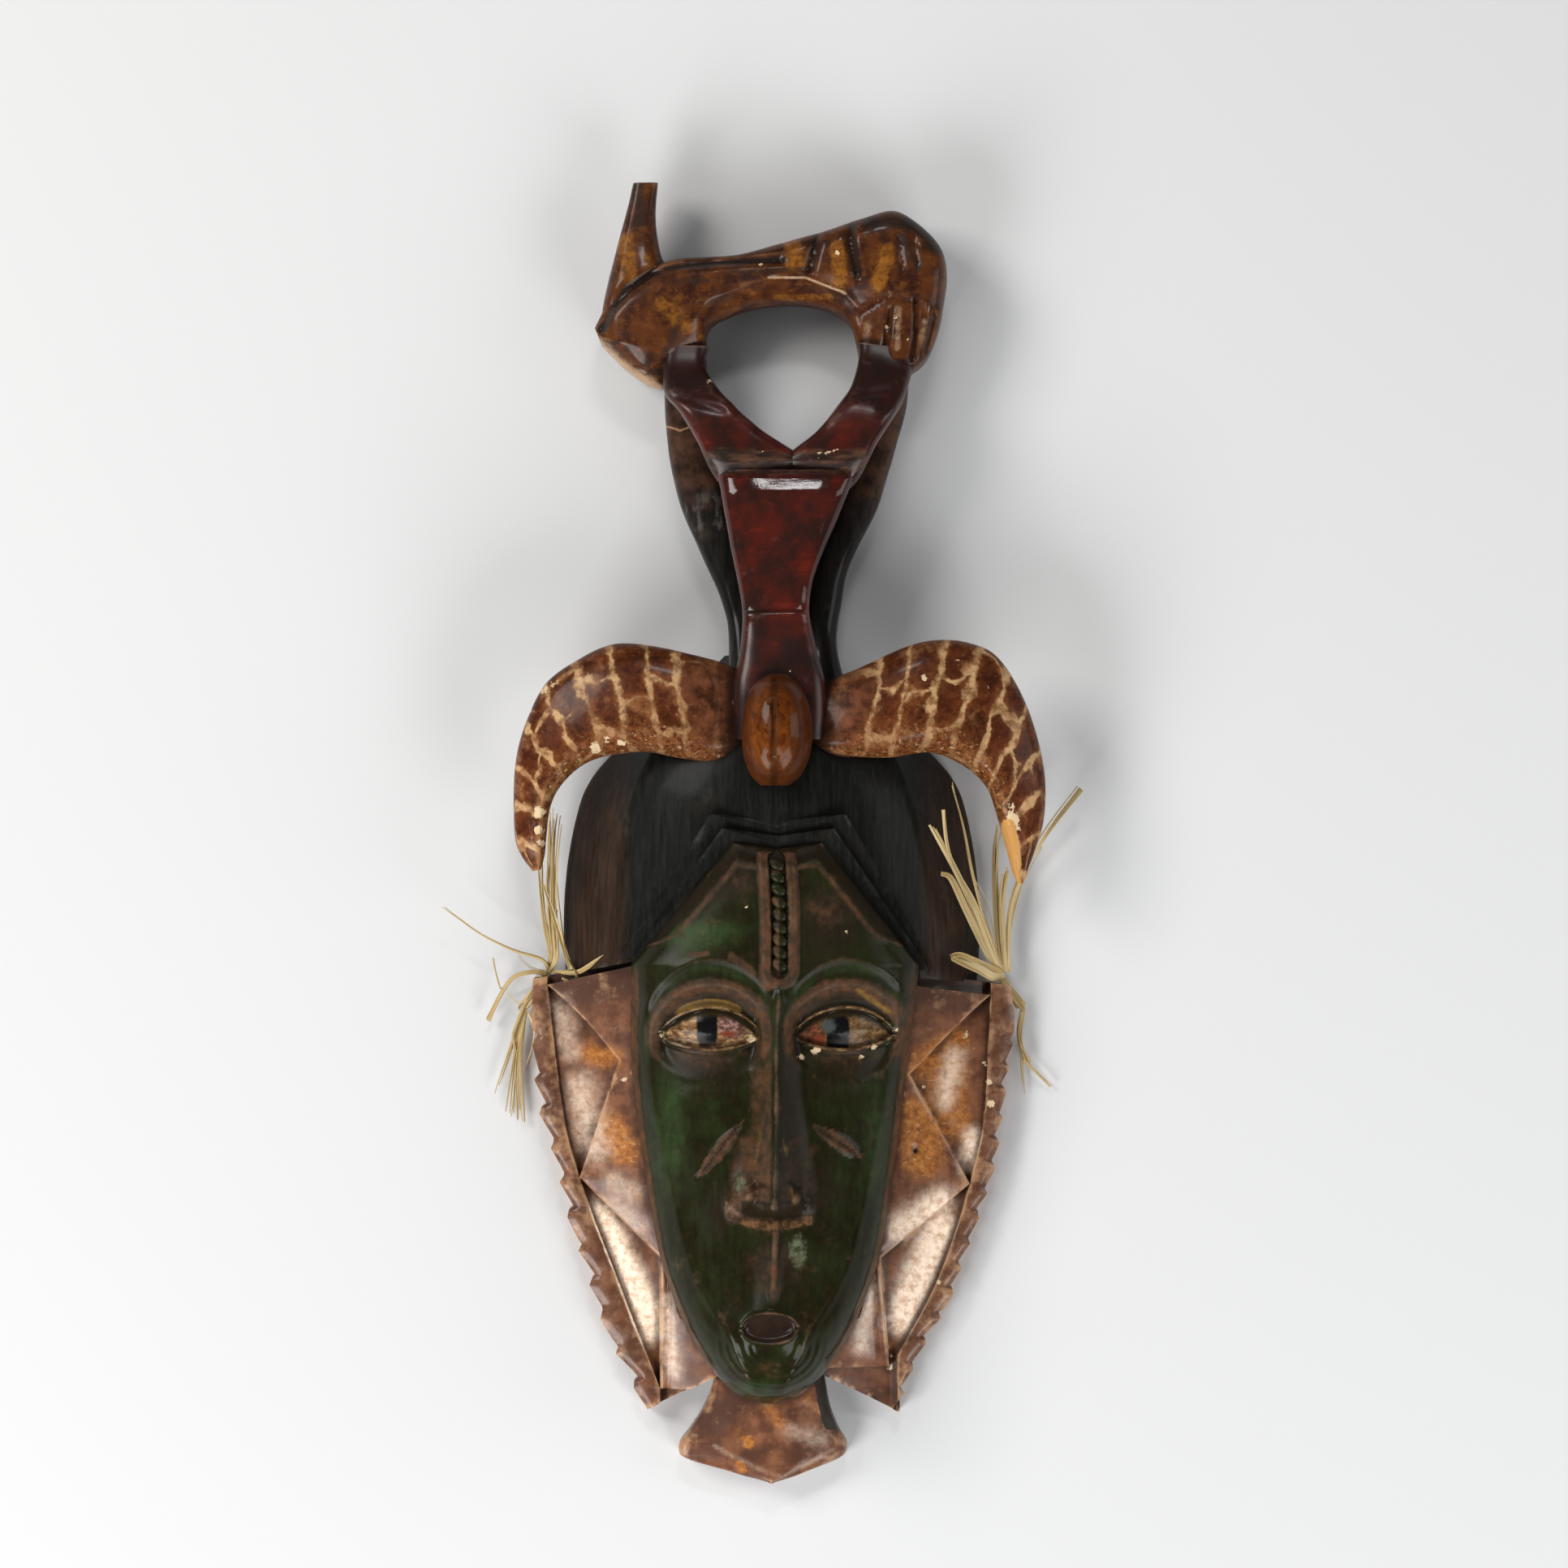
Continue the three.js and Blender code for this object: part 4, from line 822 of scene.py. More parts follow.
ANIMAL_TAIL = [
    (-73.7, 212.6, -36, 217.1, 4, 38), (-71.9, 227.4, -44.2, 236.6, 5, 37),
    (-67.8, 244.5, -48.3, 245.5, 9, 34), (-63.4, 259.9, -50.4, 260.6, 14, 31),
    (-59.9, 274.8, -49.3, 274.8, 18, 29),
]
# Grooves on the animal: their path, width and depth.
ANIMAL_CUTS = [
    ([(-73, 213), (-70, 220), (-62, 229), (-52, 235.5), (-38, 239), (-22, 240.2), (2, 241)], 1.9, 2.4),
    ([(18.6, 256), (17, 247), (14.5, 237)], 2, 2.8), ([(32.5, 261), (31.5, 249), (34.5, 235)], 2, 2.8),
    ([(52, 252), (53, 244), (53.5, 238)], 0.9, 1.5), ([(58, 252), (59, 244), (60, 238)], 0.9, 1.5),
    ([(48.5, 221), (47, 210), (46, 200)], 1.2, 2), ([(59, 224), (59, 210), (57.5, 200)], 1.2, 2),
    ([(67, 219.5), (65, 210), (63, 203)], 1.1, 1.6), ([(-70, 206), (-62, 199), (-50, 193)], 0.8, 0.6),
]
FINGERS = [(34.7, 218.5), (49, 227.0), (58.9, 224.6), (67.7, 218.5)]
OPENING_LINE = [(-38, 219), (-22, 229), (-3, 233.6), (13, 233.6), (30, 227.1), (36, 220)]


def carve_animal(x, y):
    """The animal's grooves, and the finger-like tufts under its head, which step down from a zigzag edge."""
    cuts = sum(depth * bump(to_path(x, y, path), width) for path, width, depth in ANIMAL_CUTS)
    edge = np.interp(x, [p[0] for p in FINGERS], [p[1] for p in FINGERS])
    step = 1.7 * rise(0.7, -0.7, y - edge) * rise(33, 37, x) * rise(188, 202, y)
    lip = -0.7 * bump(y - edge - 0.8, 0.9) * rise(33, 37, x)
    line = -0.45 * bump(to_path(x, y, OPENING_LINE), 0.8)
    return cuts + step + lip + line


def crest():
    """The bars of the crest, as they are joined. The animal's body is flat on top, with a bevel down to the
    opening."""

    def bevelled(a, b):
        return a, b - 0.5 * np.maximum(0, a - 0.24) * np.maximum(0, b)

    square, plain = outline(4.5, 48, top=1.5), outline(3, 28)
    return [
        [between(FIGURE["back"], square, 80, "red_paint", carve_back)],
        [between(FIGURE["left_leg"], square, 56, "red_paint", carve_legs)],
        [between(FIGURE["right_leg"], square, 56, "red_paint", carve_legs)],
        [between(HEAD, outline(2.1, 44, top=1.6), 44, "ochre_paint", carve_head)],
        [between(strap, plain, 50, "strap_paint") for strap in STRAPS],
        [between(ANIMAL_BODY, outline(3.8, 96, bevelled, top=2.6), 165, "tortoise_paint", carve_animal)],
        [between(ANIMAL_TAIL, outline(3.2, 40, top=1.6), 44, "tortoise_paint", carve_animal)],
    ]


# The hollow behind the face

HOLLOW_TOP_Y = 46.0
HOLLOW_FOOT_Y = -206.0
HOLLOW_HALF_WIDTH = [
    (HOLLOW_FOOT_Y, 4), (-202, 16), (-190, 27), (-160, 40), (-110, 47), (-60, 56), (-20, 58), (15, 50),
    (36, 30), (HOLLOW_TOP_Y, 6),
]
HOLLOW_DEPTH = [
    (HOLLOW_FOOT_Y, 8), (-202, 18), (-190, 28), (-160, 38), (-110, 43), (-60, 45), (-10, 42), (25, 33),
    (HOLLOW_TOP_Y, 10),
]
GOUGE_PITCH = 11.0


def hollow():
    """The hollow: an arch across at each height, cut with a gouge that leaves shallow scallops."""
    y = runs((HOLLOW_FOOT_Y, -196, 8), (-196, 30, 76), (30, HOLLOW_TOP_Y, 12))[:, None]
    half, depth = along(HOLLOW_HALF_WIDTH, y), along(HOLLOW_DEPTH, y)
    angle = np.linspace(0, np.pi, 41)[None, :]
    a, b = squarer(np.cos(angle), 2.4), squarer(np.sin(angle), 2.4)
    scallop = 1 + 0.022 * np.cos(2 * np.pi * y / GOUGE_PITCH + 3 * np.sin(4 * angle)) * np.sin(angle)
    x, z = HAIR_CENTRE + a * half * scallop, b * depth * scallop
    arch = np.stack(np.broadcast_arrays(x, y, z), -1)
    ends = [np.column_stack([HAIR_CENTRE + sign * half, y, -5 + 0 * y]) for sign in (-1, 1)]
    return tube(np.concatenate([arch, np.stack(ends, 1)], axis=1), "back_wood")


def beside_collar():
    """Blocks that end the hair at the top edge of each wing."""
    made = []
    for side in (-1, 1):
        inside, outside = (COLLAR_TOP_Y + up - 1 for up in WINGS[side]["top"])
        foot = [(46, -84), (46, inside), (102, outside), (102, -84)]
        levels = [[(side * x, y, z) for x, y in foot] for z in (-10.0, 80.0)]
        made.append(tube(np.array(levels), "hair_paint"))
    return made


TUFT_HOLE_WIDTH = 8.0
TUFT_HOLE = [(92, -54, 6.3), (112, -82, 6.3)]


def tuft_holes():
    """A slanted hole through the upper corner of each wing, which takes a tuft of raffia."""
    start, end = np.array(TUFT_HOLE)
    size = [TUFT_HOLE_WIDTH] * 3
    made = []
    for side in (-1, 1):
        path = [mix(start, end, t) * (side, 1, 1) + (COLLAR_CENTRE, 0, 0) for t in (0, 0.5, 1)]
        made.append(sweep(path, size, size, outline(2, 20), 6, "back_wood"))
    return made


# Meshes

FINISHES = [
    "face_paint", "hair_paint", "collar_stain", "horn_paint", "red_paint", "ochre_paint", "strap_paint",
    "tortoise_paint", "back_wood",
]


def add(name, data):
    """Puts an object with this name and this mesh, light or camera in the scene."""
    made = bpy.data.objects.new(name, data)
    bpy.context.scene.collection.objects.link(made)
    return made


def mesh_of(name, forms, finishes=FINISHES):
    """One mesh object of several forms, with a material slot for each finish."""
    mesh = bpy.data.meshes.new(name)
    starts = np.cumsum([0] + [len(form["points"]) for form in forms])
    points = np.concatenate([form["points"] for form in forms]) * MM
    faces = [[i + start for i in face] for form, start in zip(forms, starts) for face in form["faces"]]
    mesh.from_pydata(points, [], faces)
    for finish in finishes:
        mesh.materials.append(bpy.data.materials.get(finish) or bpy.data.materials.new(finish))
    slots = np.concatenate([np.full(len(form["faces"]), finishes.index(form["finish"])) for form in forms])
    mesh.polygons.foreach_set("material_index", slots.astype(np.int32))
    layer = mesh.uv_layers.new(name="carving")
    layer.data.foreach_set("uv", np.concatenate([form["uv"] for form in forms]).ravel() * MM)
    mesh.update()
    return add(name, mesh)


def combine(base, forms, operation):
    """Joins closed forms, or another object, to the base, or cuts them out of it."""
    other = mesh_of("tool", forms) if isinstance(forms, list) else forms
    step = base.modifiers.new("step", "BOOLEAN")
    step.solver = "MANIFOLD"
    step.operation = operation
    step.object = other
    made = bpy.data.meshes.new_from_object(base.evaluated_get(bpy.context.evaluated_depsgraph_get()))
    base.modifiers.clear()
    spent = [base.data, other.data]
    base.data = made
    bpy.data.objects.remove(other)
    for mesh in spent:
        bpy.data.meshes.remove(mesh)


def drop_flaps(mesh):
    """Removes two faces that lie back to back on the same corners and touch nothing else."""
    shape = bmesh.new()
    shape.from_mesh(mesh)
    alone = [v for v in shape.verts if len({frozenset(face.verts) for face in v.link_faces}) == 1]
    bmesh.ops.delete(shape, geom=alone, context="VERTS")
    shape.to_mesh(mesh)
    shape.free()


def carved_block():
    """The whole carving: all its forms joined into one closed surface, then hollowed and drilled."""
    grounds, facets, rims = (list(forms) for forms in zip(*[wing_forms(side) for side in (-1, 1)]))
    wings = mesh_of("wings", grounds)
    combine(wings, facets, "UNION")
    combine(wings, rims, "UNION")
    combine(wings, below_wings(), "DIFFERENCE")
    dome = mesh_of("dome", [hair()])
    for step in (1, 2):
        combine(dome, [hairline_band(step)], "UNION")
    combine(dome, beside_collar(), "DIFFERENCE")
    block = mesh_of("carved_block", [face()])
    for forms in [dome, wings, beads(), [bib()], [horn(-1), horn(1)]] + crest():
        combine(block, forms, "UNION")
    combine(block, [hollow()], "DIFFERENCE")
    combine(block, tuft_holes(), "DIFFERENCE")
    return block


# Raffia. Each group is (strands, spread at the end, widths along the strand, and then the points of its route
# from the hole). The strands of a group part from each other on their way.

BUNDLE_COUNT = 14
BUNDLE_WIDTHS = (1.4, 1.5, 1.5, 1.4)
BUNDLE_SPREAD = 2.2
RAFFIA_BUNDLE = [
    (94.3, -57.2, 6.3), (97.5, -61.3, 6.3), (100, -65.2, 6.3), (103.2, -69.6, 6.3), (106.3, -74, 6.3),
]
RAFFIA = {
    -1: [
        (9, 3.4, (1, 1.3, 1.1, 0.6), (-96, -57, 7), (-93.5, -48, 11), (-94, -32, 12), (-94, -10, 13),
         (-93, 8, 14)),
        (8, 2.6, (1, 1.2, 0.9, 0.5), (-96, -58, 7), (-95, -50, 10), (-97, -38, 12), (-98, -24, 13),
         (-99, -12, 14)),
        (5, 3, (0.9, 1.1, 0.8, 0.5), (-96, -58, 8), (-93, -52, 12), (-93, -42, 14), (-95, -30, 15)),
        (2, 1.2, (1.3, 1.5, 1.4, 0.9), (-95, -58, 8), (-87, -57.5, 14), (-88.5, -50, 17), (-94, -32, 18),
         (-98, -20, 18)),
        (1, 0.3, (1.1, 1.4, 1.3, 1), (-90, -60.5, 15), (-85, -62.5, 16.5), (-83.5, -58.5, 19),
         (-88, -48, 20), (-92, -20, 21)),
        (1, 0.2, (1.4, 2.2, 2.3, 2), (-92, -58, 11), (-84, -58, 18), (-75, -52.3, 28), (-66.2, -47.5, 37)),
        (2, 0.5, (1.8, 2, 1.5, 2.2), (-97, -59, 8), (-104, -58.6, 9), (-111, -61, 9), (-116, -68, 7),
         (-121.4, -79, 5)),
        (1, 0.1, (0.6, 0.8, 0.8, 0.7), (-112, -62.5, 8), (-116.2, -66, 8), (-117.6, -62, 10),
         (-119.4, -52.8, 12)),
        (1, 0.1, (0.5, 0.5, 0.5, 0.4), (-114, -68, 6), (-110, -72, 6), (-106, -75, 6)),
        (5, 2.6, (1.6, 1.5, 1.2, 0.6), (-106, -73, 6), (-107.5, -84, 5), (-108.8, -98, 4),
         (-107.4, -122, 3)),
        (4, 2.2, (1.5, 1.4, 1, 0.5), (-106, -73, 6), (-109, -86, 5), (-111, -100, 4), (-114, -121, 3)),
        (3, 1.6, (1.2, 1.2, 0.9, 0.5), (-106, -73, 6), (-109.5, -82, 5), (-113, -94, 4), (-118.2, -109, 3)),
        (2, 0.6, (1.3, 1.3, 1, 0.6), (-106.5, -73, 7), (-109, -79, 7), (-111.6, -86, 6), (-110.4, -93, 5)),
        (1, 0.2, (1, 1.1, 0.9, 0.5), (-106, -74, 6), (-102.6, -84, 3), (-106.5, -98, 3)),
        (3, 1, (0.9, 1, 0.6, 0.3), (-96, -58, 8), (-99, -53, 11), (-111, -49, 13), (-124, -42.6, 14),
         (-134, -36, 15), (-141, -31, 16)),
        (2, 0.6, (0.3, 0.3, 0.25, 0.2), (-98, -58, 8), (-104, -56, 8), (-110, -51, 9)),
    ],
    1: [
        (3, 1.2, (1.6, 1.9, 1.6, 1.2), (96, -58, 8), (92, -50, 14), (83.6, -30, 24), (77, -15, 30),
         (66.2, 5, 38)),
        (2, 1, (1.5, 1.9, 1.7, 1.9), (96, -58, 8), (91, -44, 17), (84, -27, 25), (73.6, -8, 34),
         (70.6, 11, 38)),
        (2, 0.8, (1.2, 1.5, 1.2, 0.7), (97, -58, 8), (89, -36, 19), (83.5, -16, 26), (80, 3, 29),
         (75.6, 21.5, 31)),
        (2, 0.7, (1.8, 2.3, 2, 1.4), (96, -58, 8), (90, -50, 14), (80.5, -31, 27), (74, -18, 34),
         (69.6, -15.6, 37)),
        (5, 1.8, (1.5, 1.6, 1.2, 0.6), (97, -58, 8), (95, -46, 10), (93.6, -26, 12), (93.4, -8, 13),
         (95, 3, 14)),
        (4, 1.4, (1.6, 1.7, 1.3, 0.8), (98, -58, 8), (96.4, -44, 11), (96.2, -28, 13), (98.4, -14, 14)),
        (2, 0.8, (1.2, 1.4, 1.3, 2.6), (99, -58, 8), (98.6, -42, 10), (102.3, -22, 12), (114, 0.5, 14),
         (128.4, 20.5, 16)),
        (2, 0.9, (1, 1.2, 1, 1.6), (99, -58, 8), (99.4, -42, 10), (104, -22, 12), (112.5, -5, 13)),
        (1, 0.2, (0.5, 0.5, 0.5, 0.4), (94, -48, 12), (90, -30, 17), (85, -19, 25)),
        (3, 0.9, (2.6, 3, 3.2, 2.8), (97, -60, 8), (92, -60, 14), (86, -56.6, 21), (79, -53.4, 27),
         (74.6, -51.4, 31)),
        (2, 0.6, (2.4, 2.6, 2.8, 2.4), (97, -59, 8), (91, -56, 15), (84, -52.4, 23), (77.8, -49.8, 29),
         (74.2, -50.6, 31)),
        (3, 0.8, (1.5, 2.2, 2.6, 2), (105.5, -74, 6), (104, -83, 5), (104.4, -90, 5), (108, -97.6, 4)),
        (2, 0.7, (1.2, 1, 0.8, 0.8), (104.5, -88, 5), (107, -96, 4), (111.5, -101, 4), (117.3, -107, 3)),
        (2, 0.5, (1, 0.8, 0.6, 0.4), (104.5, -88, 5), (105.4, -98, 4), (106.8, -110.5, 3)),
    ],
}
STRAND_THICKNESS = 0.42
STRAND_WANDER = 0.5
TUFT_SEED = {-1: 7, 1: 11}


def strand(route, widths, shift, spread, wander, turn, number):
    """One split strand: a flat ribbon along the route, shifted aside from it by a share that grows along it,
    with a slow wave in it."""
    s = np.linspace(0, 1, 3 * len(route) + 3)
    path = spline(route, s)
    part = mix(0.45, spread, s**1.3)[:, None]
    waves = np.stack([np.sin(k * s * 2.3 + phase) for k, phase in ((2.1, wander[0]), (1.7, wander[1]))], -1)
    aside = shift[:2] * part + STRAND_WANDER * waves * s[:, None]
    path = path + np.column_stack([aside, 0.35 * shift[2] * part[:, 0]])
    width = np.interp(s, np.linspace(0, 1, len(widths)), widths)
    thick = np.minimum(width * 0.6, STRAND_THICKNESS)
    made = sweep(path, width, thick, outline(3.0, 8), len(s) * 2, "dry_raffia", turn)
    made["uv"] = made["uv"] + np.array([0, 20.0 * number])
    return made


def raffia(side):
    """A tuft: the bundle in its hole, and the groups that stand out of both ends of it."""
    rng = np.random.default_rng(TUFT_SEED[side])
    bundle = [(COLLAR_CENTRE + side * x, y, z) for x, y, z in RAFFIA_BUNDLE]
    made = []
    for count, spread, widths, *route in [(BUNDLE_COUNT, 1.0, BUNDLE_WIDTHS, *bundle)] + RAFFIA[side]:
        for _ in range(count):
            shift = rng.uniform(-1, 1, 3) * (BUNDLE_SPREAD if count == BUNDLE_COUNT else 1)
            end = rng.uniform(0.82, 1.0) if count > 2 else 1.0
            points = np.array(route)
            points[-1] = mix(points[-2], points[-1], end)
            wander, turn = rng.uniform(0, 6, 2), rng.uniform(-2.2, 2.2)
            made.append(strand(points, widths, shift, spread, wander, turn, len(made)))
    return mesh_of("raffia_tuft_left" if side < 0 else "raffia_tuft_right", made, ["dry_raffia"])


# Surface: the carver's hand, wear, and where each colour lies. A mask is above 0 inside its patch.

# The glint on the right pupil is a painted reflection, and the pale patches on the nose and the upper lip are
# painted highlights.
EYE_PATCHES = {
    "pupil": [(-28.2, -79.4, 4.4, 8.2), (26.2, -82.2, 4.8, 7.6)],
    "flush": [(-18.1, -79.4, 6.4, 5.2)],
    "rust": [(12, -83, 9.4, 6.4)],
    "ember": [(-19.5, -82.4, 3.4, 1.3), (18.2, -84.6, 2.6, 2.2)],
    "glint": [(22.4, -79.2, 3.6, 3.6)],
    "pale": [(-14.2, -144.1, 2.6, 4.4), (9.6, -173, 4, 7), (4.2, -130, 1.2, 2.2)],
}
# Chipped places, down to the pale ground: (x, y, radius).
CHIPS = [
    (-10, -84.6, 1.6), (17.2, -89.6, 1.7), (41.3, -88.2, 1.2), (36.2, -92.4, 1), (11, -92.2, 1.3),
    (50.4, -81.4, 0.9), (-47.2, -83.2, 1.2), (-96.6, 60.6, 1.9), (-74.8, 36.4, 2.3), (-64, 38.6, 1.6),
    (-98.6, 9.4, 2.5), (-99, 2.4, 2.2), (-97.8, -3.4, 1.5), (-70, 40, 1.2), (-93, 63, 1.2), (-102, 52, 1.1),
    (62, 66, 1.8), (99.6, 7, 2.8), (98.6, 12.4, 1.6), (101.4, 3.4, 1.5), (76, 73, 1), (88, 62, 1.1),
    (89.3, -97, 1.1), (90.8, -105.4, 1.4), (91.6, -114.2, 1.6), (69.6, -189.6, 1.2), (49, -226.8, 1.3),
    (49.4, -221.6, 0.9), (80.6, -84.6, 1.5), (85, -91, 0.8), (-80.4, -108, 0.9), (-63.6, -103.5, 1.1),
    (70, -150, 0.8), (62.8, -106.5, 0.9), (-6, 239, 0.9), (47, 213, 1.2), (50.5, 217, 1), (56, 208, 1),
    (-27.6, 190, 1), (26, 244, 0.8), (5.4, 68.4, 1), (30, -40, 0.5), (-12, -29, 0.5), (-20, 159.6, 0.7),
    (-14, 160.6, 0.5), (-6, 159.2, 0.8), (18.4, 158.6, 1.1), (22.4, 159.6, 1), (26, 160.4, 0.7),
]
KNOT_HOLES = [(59.2, -133.2, 1.5), (60.6, -124.6, 0.7), (-70.5, -159, 0.9), (-84.2, -131, 0.6)]
BARE_SPLINTER = [(97.6, 4.4), (98.8, -6.0), (100.8, -19.5)]
# Round patches on the face: (middle across, middle up, reach across, reach up, share), measured on the face
# as it lies, from its middle line, or from the middle of an eye.
FACE_SPOTS = {
    "rubbed": {
        "face": [(22, -30, 16, 14, 0.55), (-13, -22, 9, 11, 0.5)],
        "middle": [(0, -180, 20, 18, 0.5), (0, -222, 9, 8, 0.45)],
        "eye": [(0, -8, 22, 10, 0.62)],
    },
    "light": {
        "face": [
            (-33, -42, 15, 7.5, 1.2), (-20, -40, 9, 7, 0.7), (-40, -26, 8, 9, 0.5),
            # The two tall strips down the soft edges of the cheeks are painted highlights.
            (-44, -125, 9, 38, 0.75), (42, -128, 8, 34, 0.65), (-26, -115, 8, 16, 0.45),
            (-10, -232, 16, 7, 0.6),
        ],
        "middle": [(-5, -182, 6, 12, 0.4)],
    },
    "dark": {
        "face": [
            (-17, -14, 12, 15, 0.85), (19, -36, 14, 16, 0.75), (-24, -22, 12, 8, 0.95),
            (22, -38, 15, 18, 0.9),
        ],
        "middle": [
            (19, -103, 10, 9, 0.7), (-19, -101, 9, 7, 0.7), (17, -145, 10, 20, 0.8),
            (-22, -156, 7, 16, 0.75), (0, -190, 24, 12, 0.5), (2, -180, 20, 12, 0.75),
        ],
        # Painted shade under each eye.
        "eye": [(2, -14, 21, 7, 0.9)],
    },
}
# Patches along lines: (line, reach, share).
BROW_MARKS = [([(-36, -49.5), (-28, -48.8)], 1.4, 0.9), ([(-18, -50), (-9, -57)], 2.2, 0.95)]
GOLD_STROKES = [
    ([(35, -64.5), (47, -73.5)], 2, 0.7), ([(-5.6, -122), (-8.4, -138)], 1.8, 0.42),
    ([(6.6, -146), (8.6, -152)], 1.6, 0.55), ([(3.4, -126), (5, -132)], 1.3, 0.5),
]
BIB_PATCHES = {
    "cream": [
        ([(6, -252), (20, -256)], 5, 0.32), ([(-26, -259), (-8, -268), (2, -272)], 1.6, 0.25),
        ([(4, -272), (24, -261)], 1.4, 0.25), ([(-12, -234), (-4, -238)], 4, 0.4),
    ],
    "orange": [
        ([(-4, -240), (3, -250)], 4, 0.7), ([(12, -236), (18, -244)], 4, 0.5),
        ([(-20, -252), (-10, -256)], 4, 0.4), ([(-12, -256), (-11, -258)], 2.4, 1.2),
        ([(-15, -267), (-14, -269)], 2.2, 1.2),
    ],
    "dark": [
        ([(-28, -250), (-16, -238)], 9, 1), ([(8, -264), (20, -256)], 6, 0.9),
        ([(-8, -228), (10, -230)], 7, 1), ([(-6, -262), (-14, -264)], 5, 0.8),
    ],
}
ANIMAL_PATCHES = {
    # The thin line along the opening is a painted highlight on the edge of the bevel.
    "light": [
        ([(-78, 207), (-62, 193), (-46, 184)], 5, 1.1), (OPENING_LINE[2:5], 0.7, 0.9),
        ([(39, 214), (38, 203)], 3, 0.55), ([(52, 221), (51, 204)], 2.6, 0.55),
        ([(63, 216), (61, 205)], 2.4, 0.5), ([(-72, 205), (-66, 221), (-52, 232)], 1, 0.35),
    ],
    "gold": [
        ([(-63, 249), (-61, 236)], 5, 1), ([(-54, 243), (-54, 240)], 3, 0.7),
        ([(7, 248), (9, 239)], 4.6, 0.95), ([(26, 246), (27, 233)], 4.2, 1), ([(47, 245), (43, 230)], 4, 1),
        ([(-46, 222), (-34, 208)], 9, 0.6), ([(-20, 222), (-10, 227)], 4, 0.5),
        ([(0, 226), (24, 226)], 2.4, 0.6), ([(64, 250), (66, 236)], 4, 0.4),
    ],
    "dark": [
        ([(-72, 213), (-62, 229), (-50, 236)], 2.6, 0.9), ([(-46, 238), (-10, 241), (4, 241)], 1.6, 0.8),
        ([(17.5, 254), (15, 237)], 2.2, 0.75), ([(32, 258), (34, 236)], 2.2, 0.75),
        ([(40, 257), (60, 256), (68, 246)], 4.5, 0.85), ([(-40, 232), (-8, 234)], 3, 0.55),
        ([(-46, 200), (-40, 216)], 4, 0.6), ([(53, 250), (60, 238)], 3, 0.7),
        ([(-58, 274), (-56, 258)], 5, 0.65), ([(-20, 236), (12, 237)], 2.4, 0.6),
    ],
}


def most(*shares):
    """The strongest share at each place."""
    return np.max(shares, axis=0)


def spots(x, y, table):
    """The strongest of several round patches, each a bell curve of the distance from its middle, measured in
    its own reaches across and up."""
    return most(*[share * bump(np.hypot((x - cx) / a, (y - cy) / b), 1) for cx, cy, a, b, share in table])


def streaks(x, y, table):
    """The strongest of several patches along lines, each a bell curve of the distance to its line."""
    return most(*[share * bump(to_path(x, y, line), reach) for line, reach, share in table])


def dots(x, y, table):
    """Distance inside the nearest of several small discs."""
    return most(*[radius - np.hypot(x - cx, y - cy) for cx, cy, radius in table])


def patch(x, y, cx, cy, a, b, power):
    """Distance inside a superellipse, about in millimetres: power 2 is an ellipse, and a high one is a
    rectangle with rounded corners."""
    return (1 - (np.abs((x - cx) / a) ** power + np.abs((y - cy) / b) ** power) ** (1 / power)) * min(a, b)


def hairline_distance(x, y):
    """Distance in from the slanted hairline of the face."""
    half = half_width_of_face(y)
    off = np.abs(x - along(FACE_CENTRE, y)) / half
    slanted = HAIRLINE_SLANT * (1 - off) * half + 30 * rise(TEMPLE_Y + 14, TEMPLE_Y - 6, y)
    return np.minimum(slanted, HAIRLINE_Y - y - hairline_dip(np.minimum(off, 1), y))


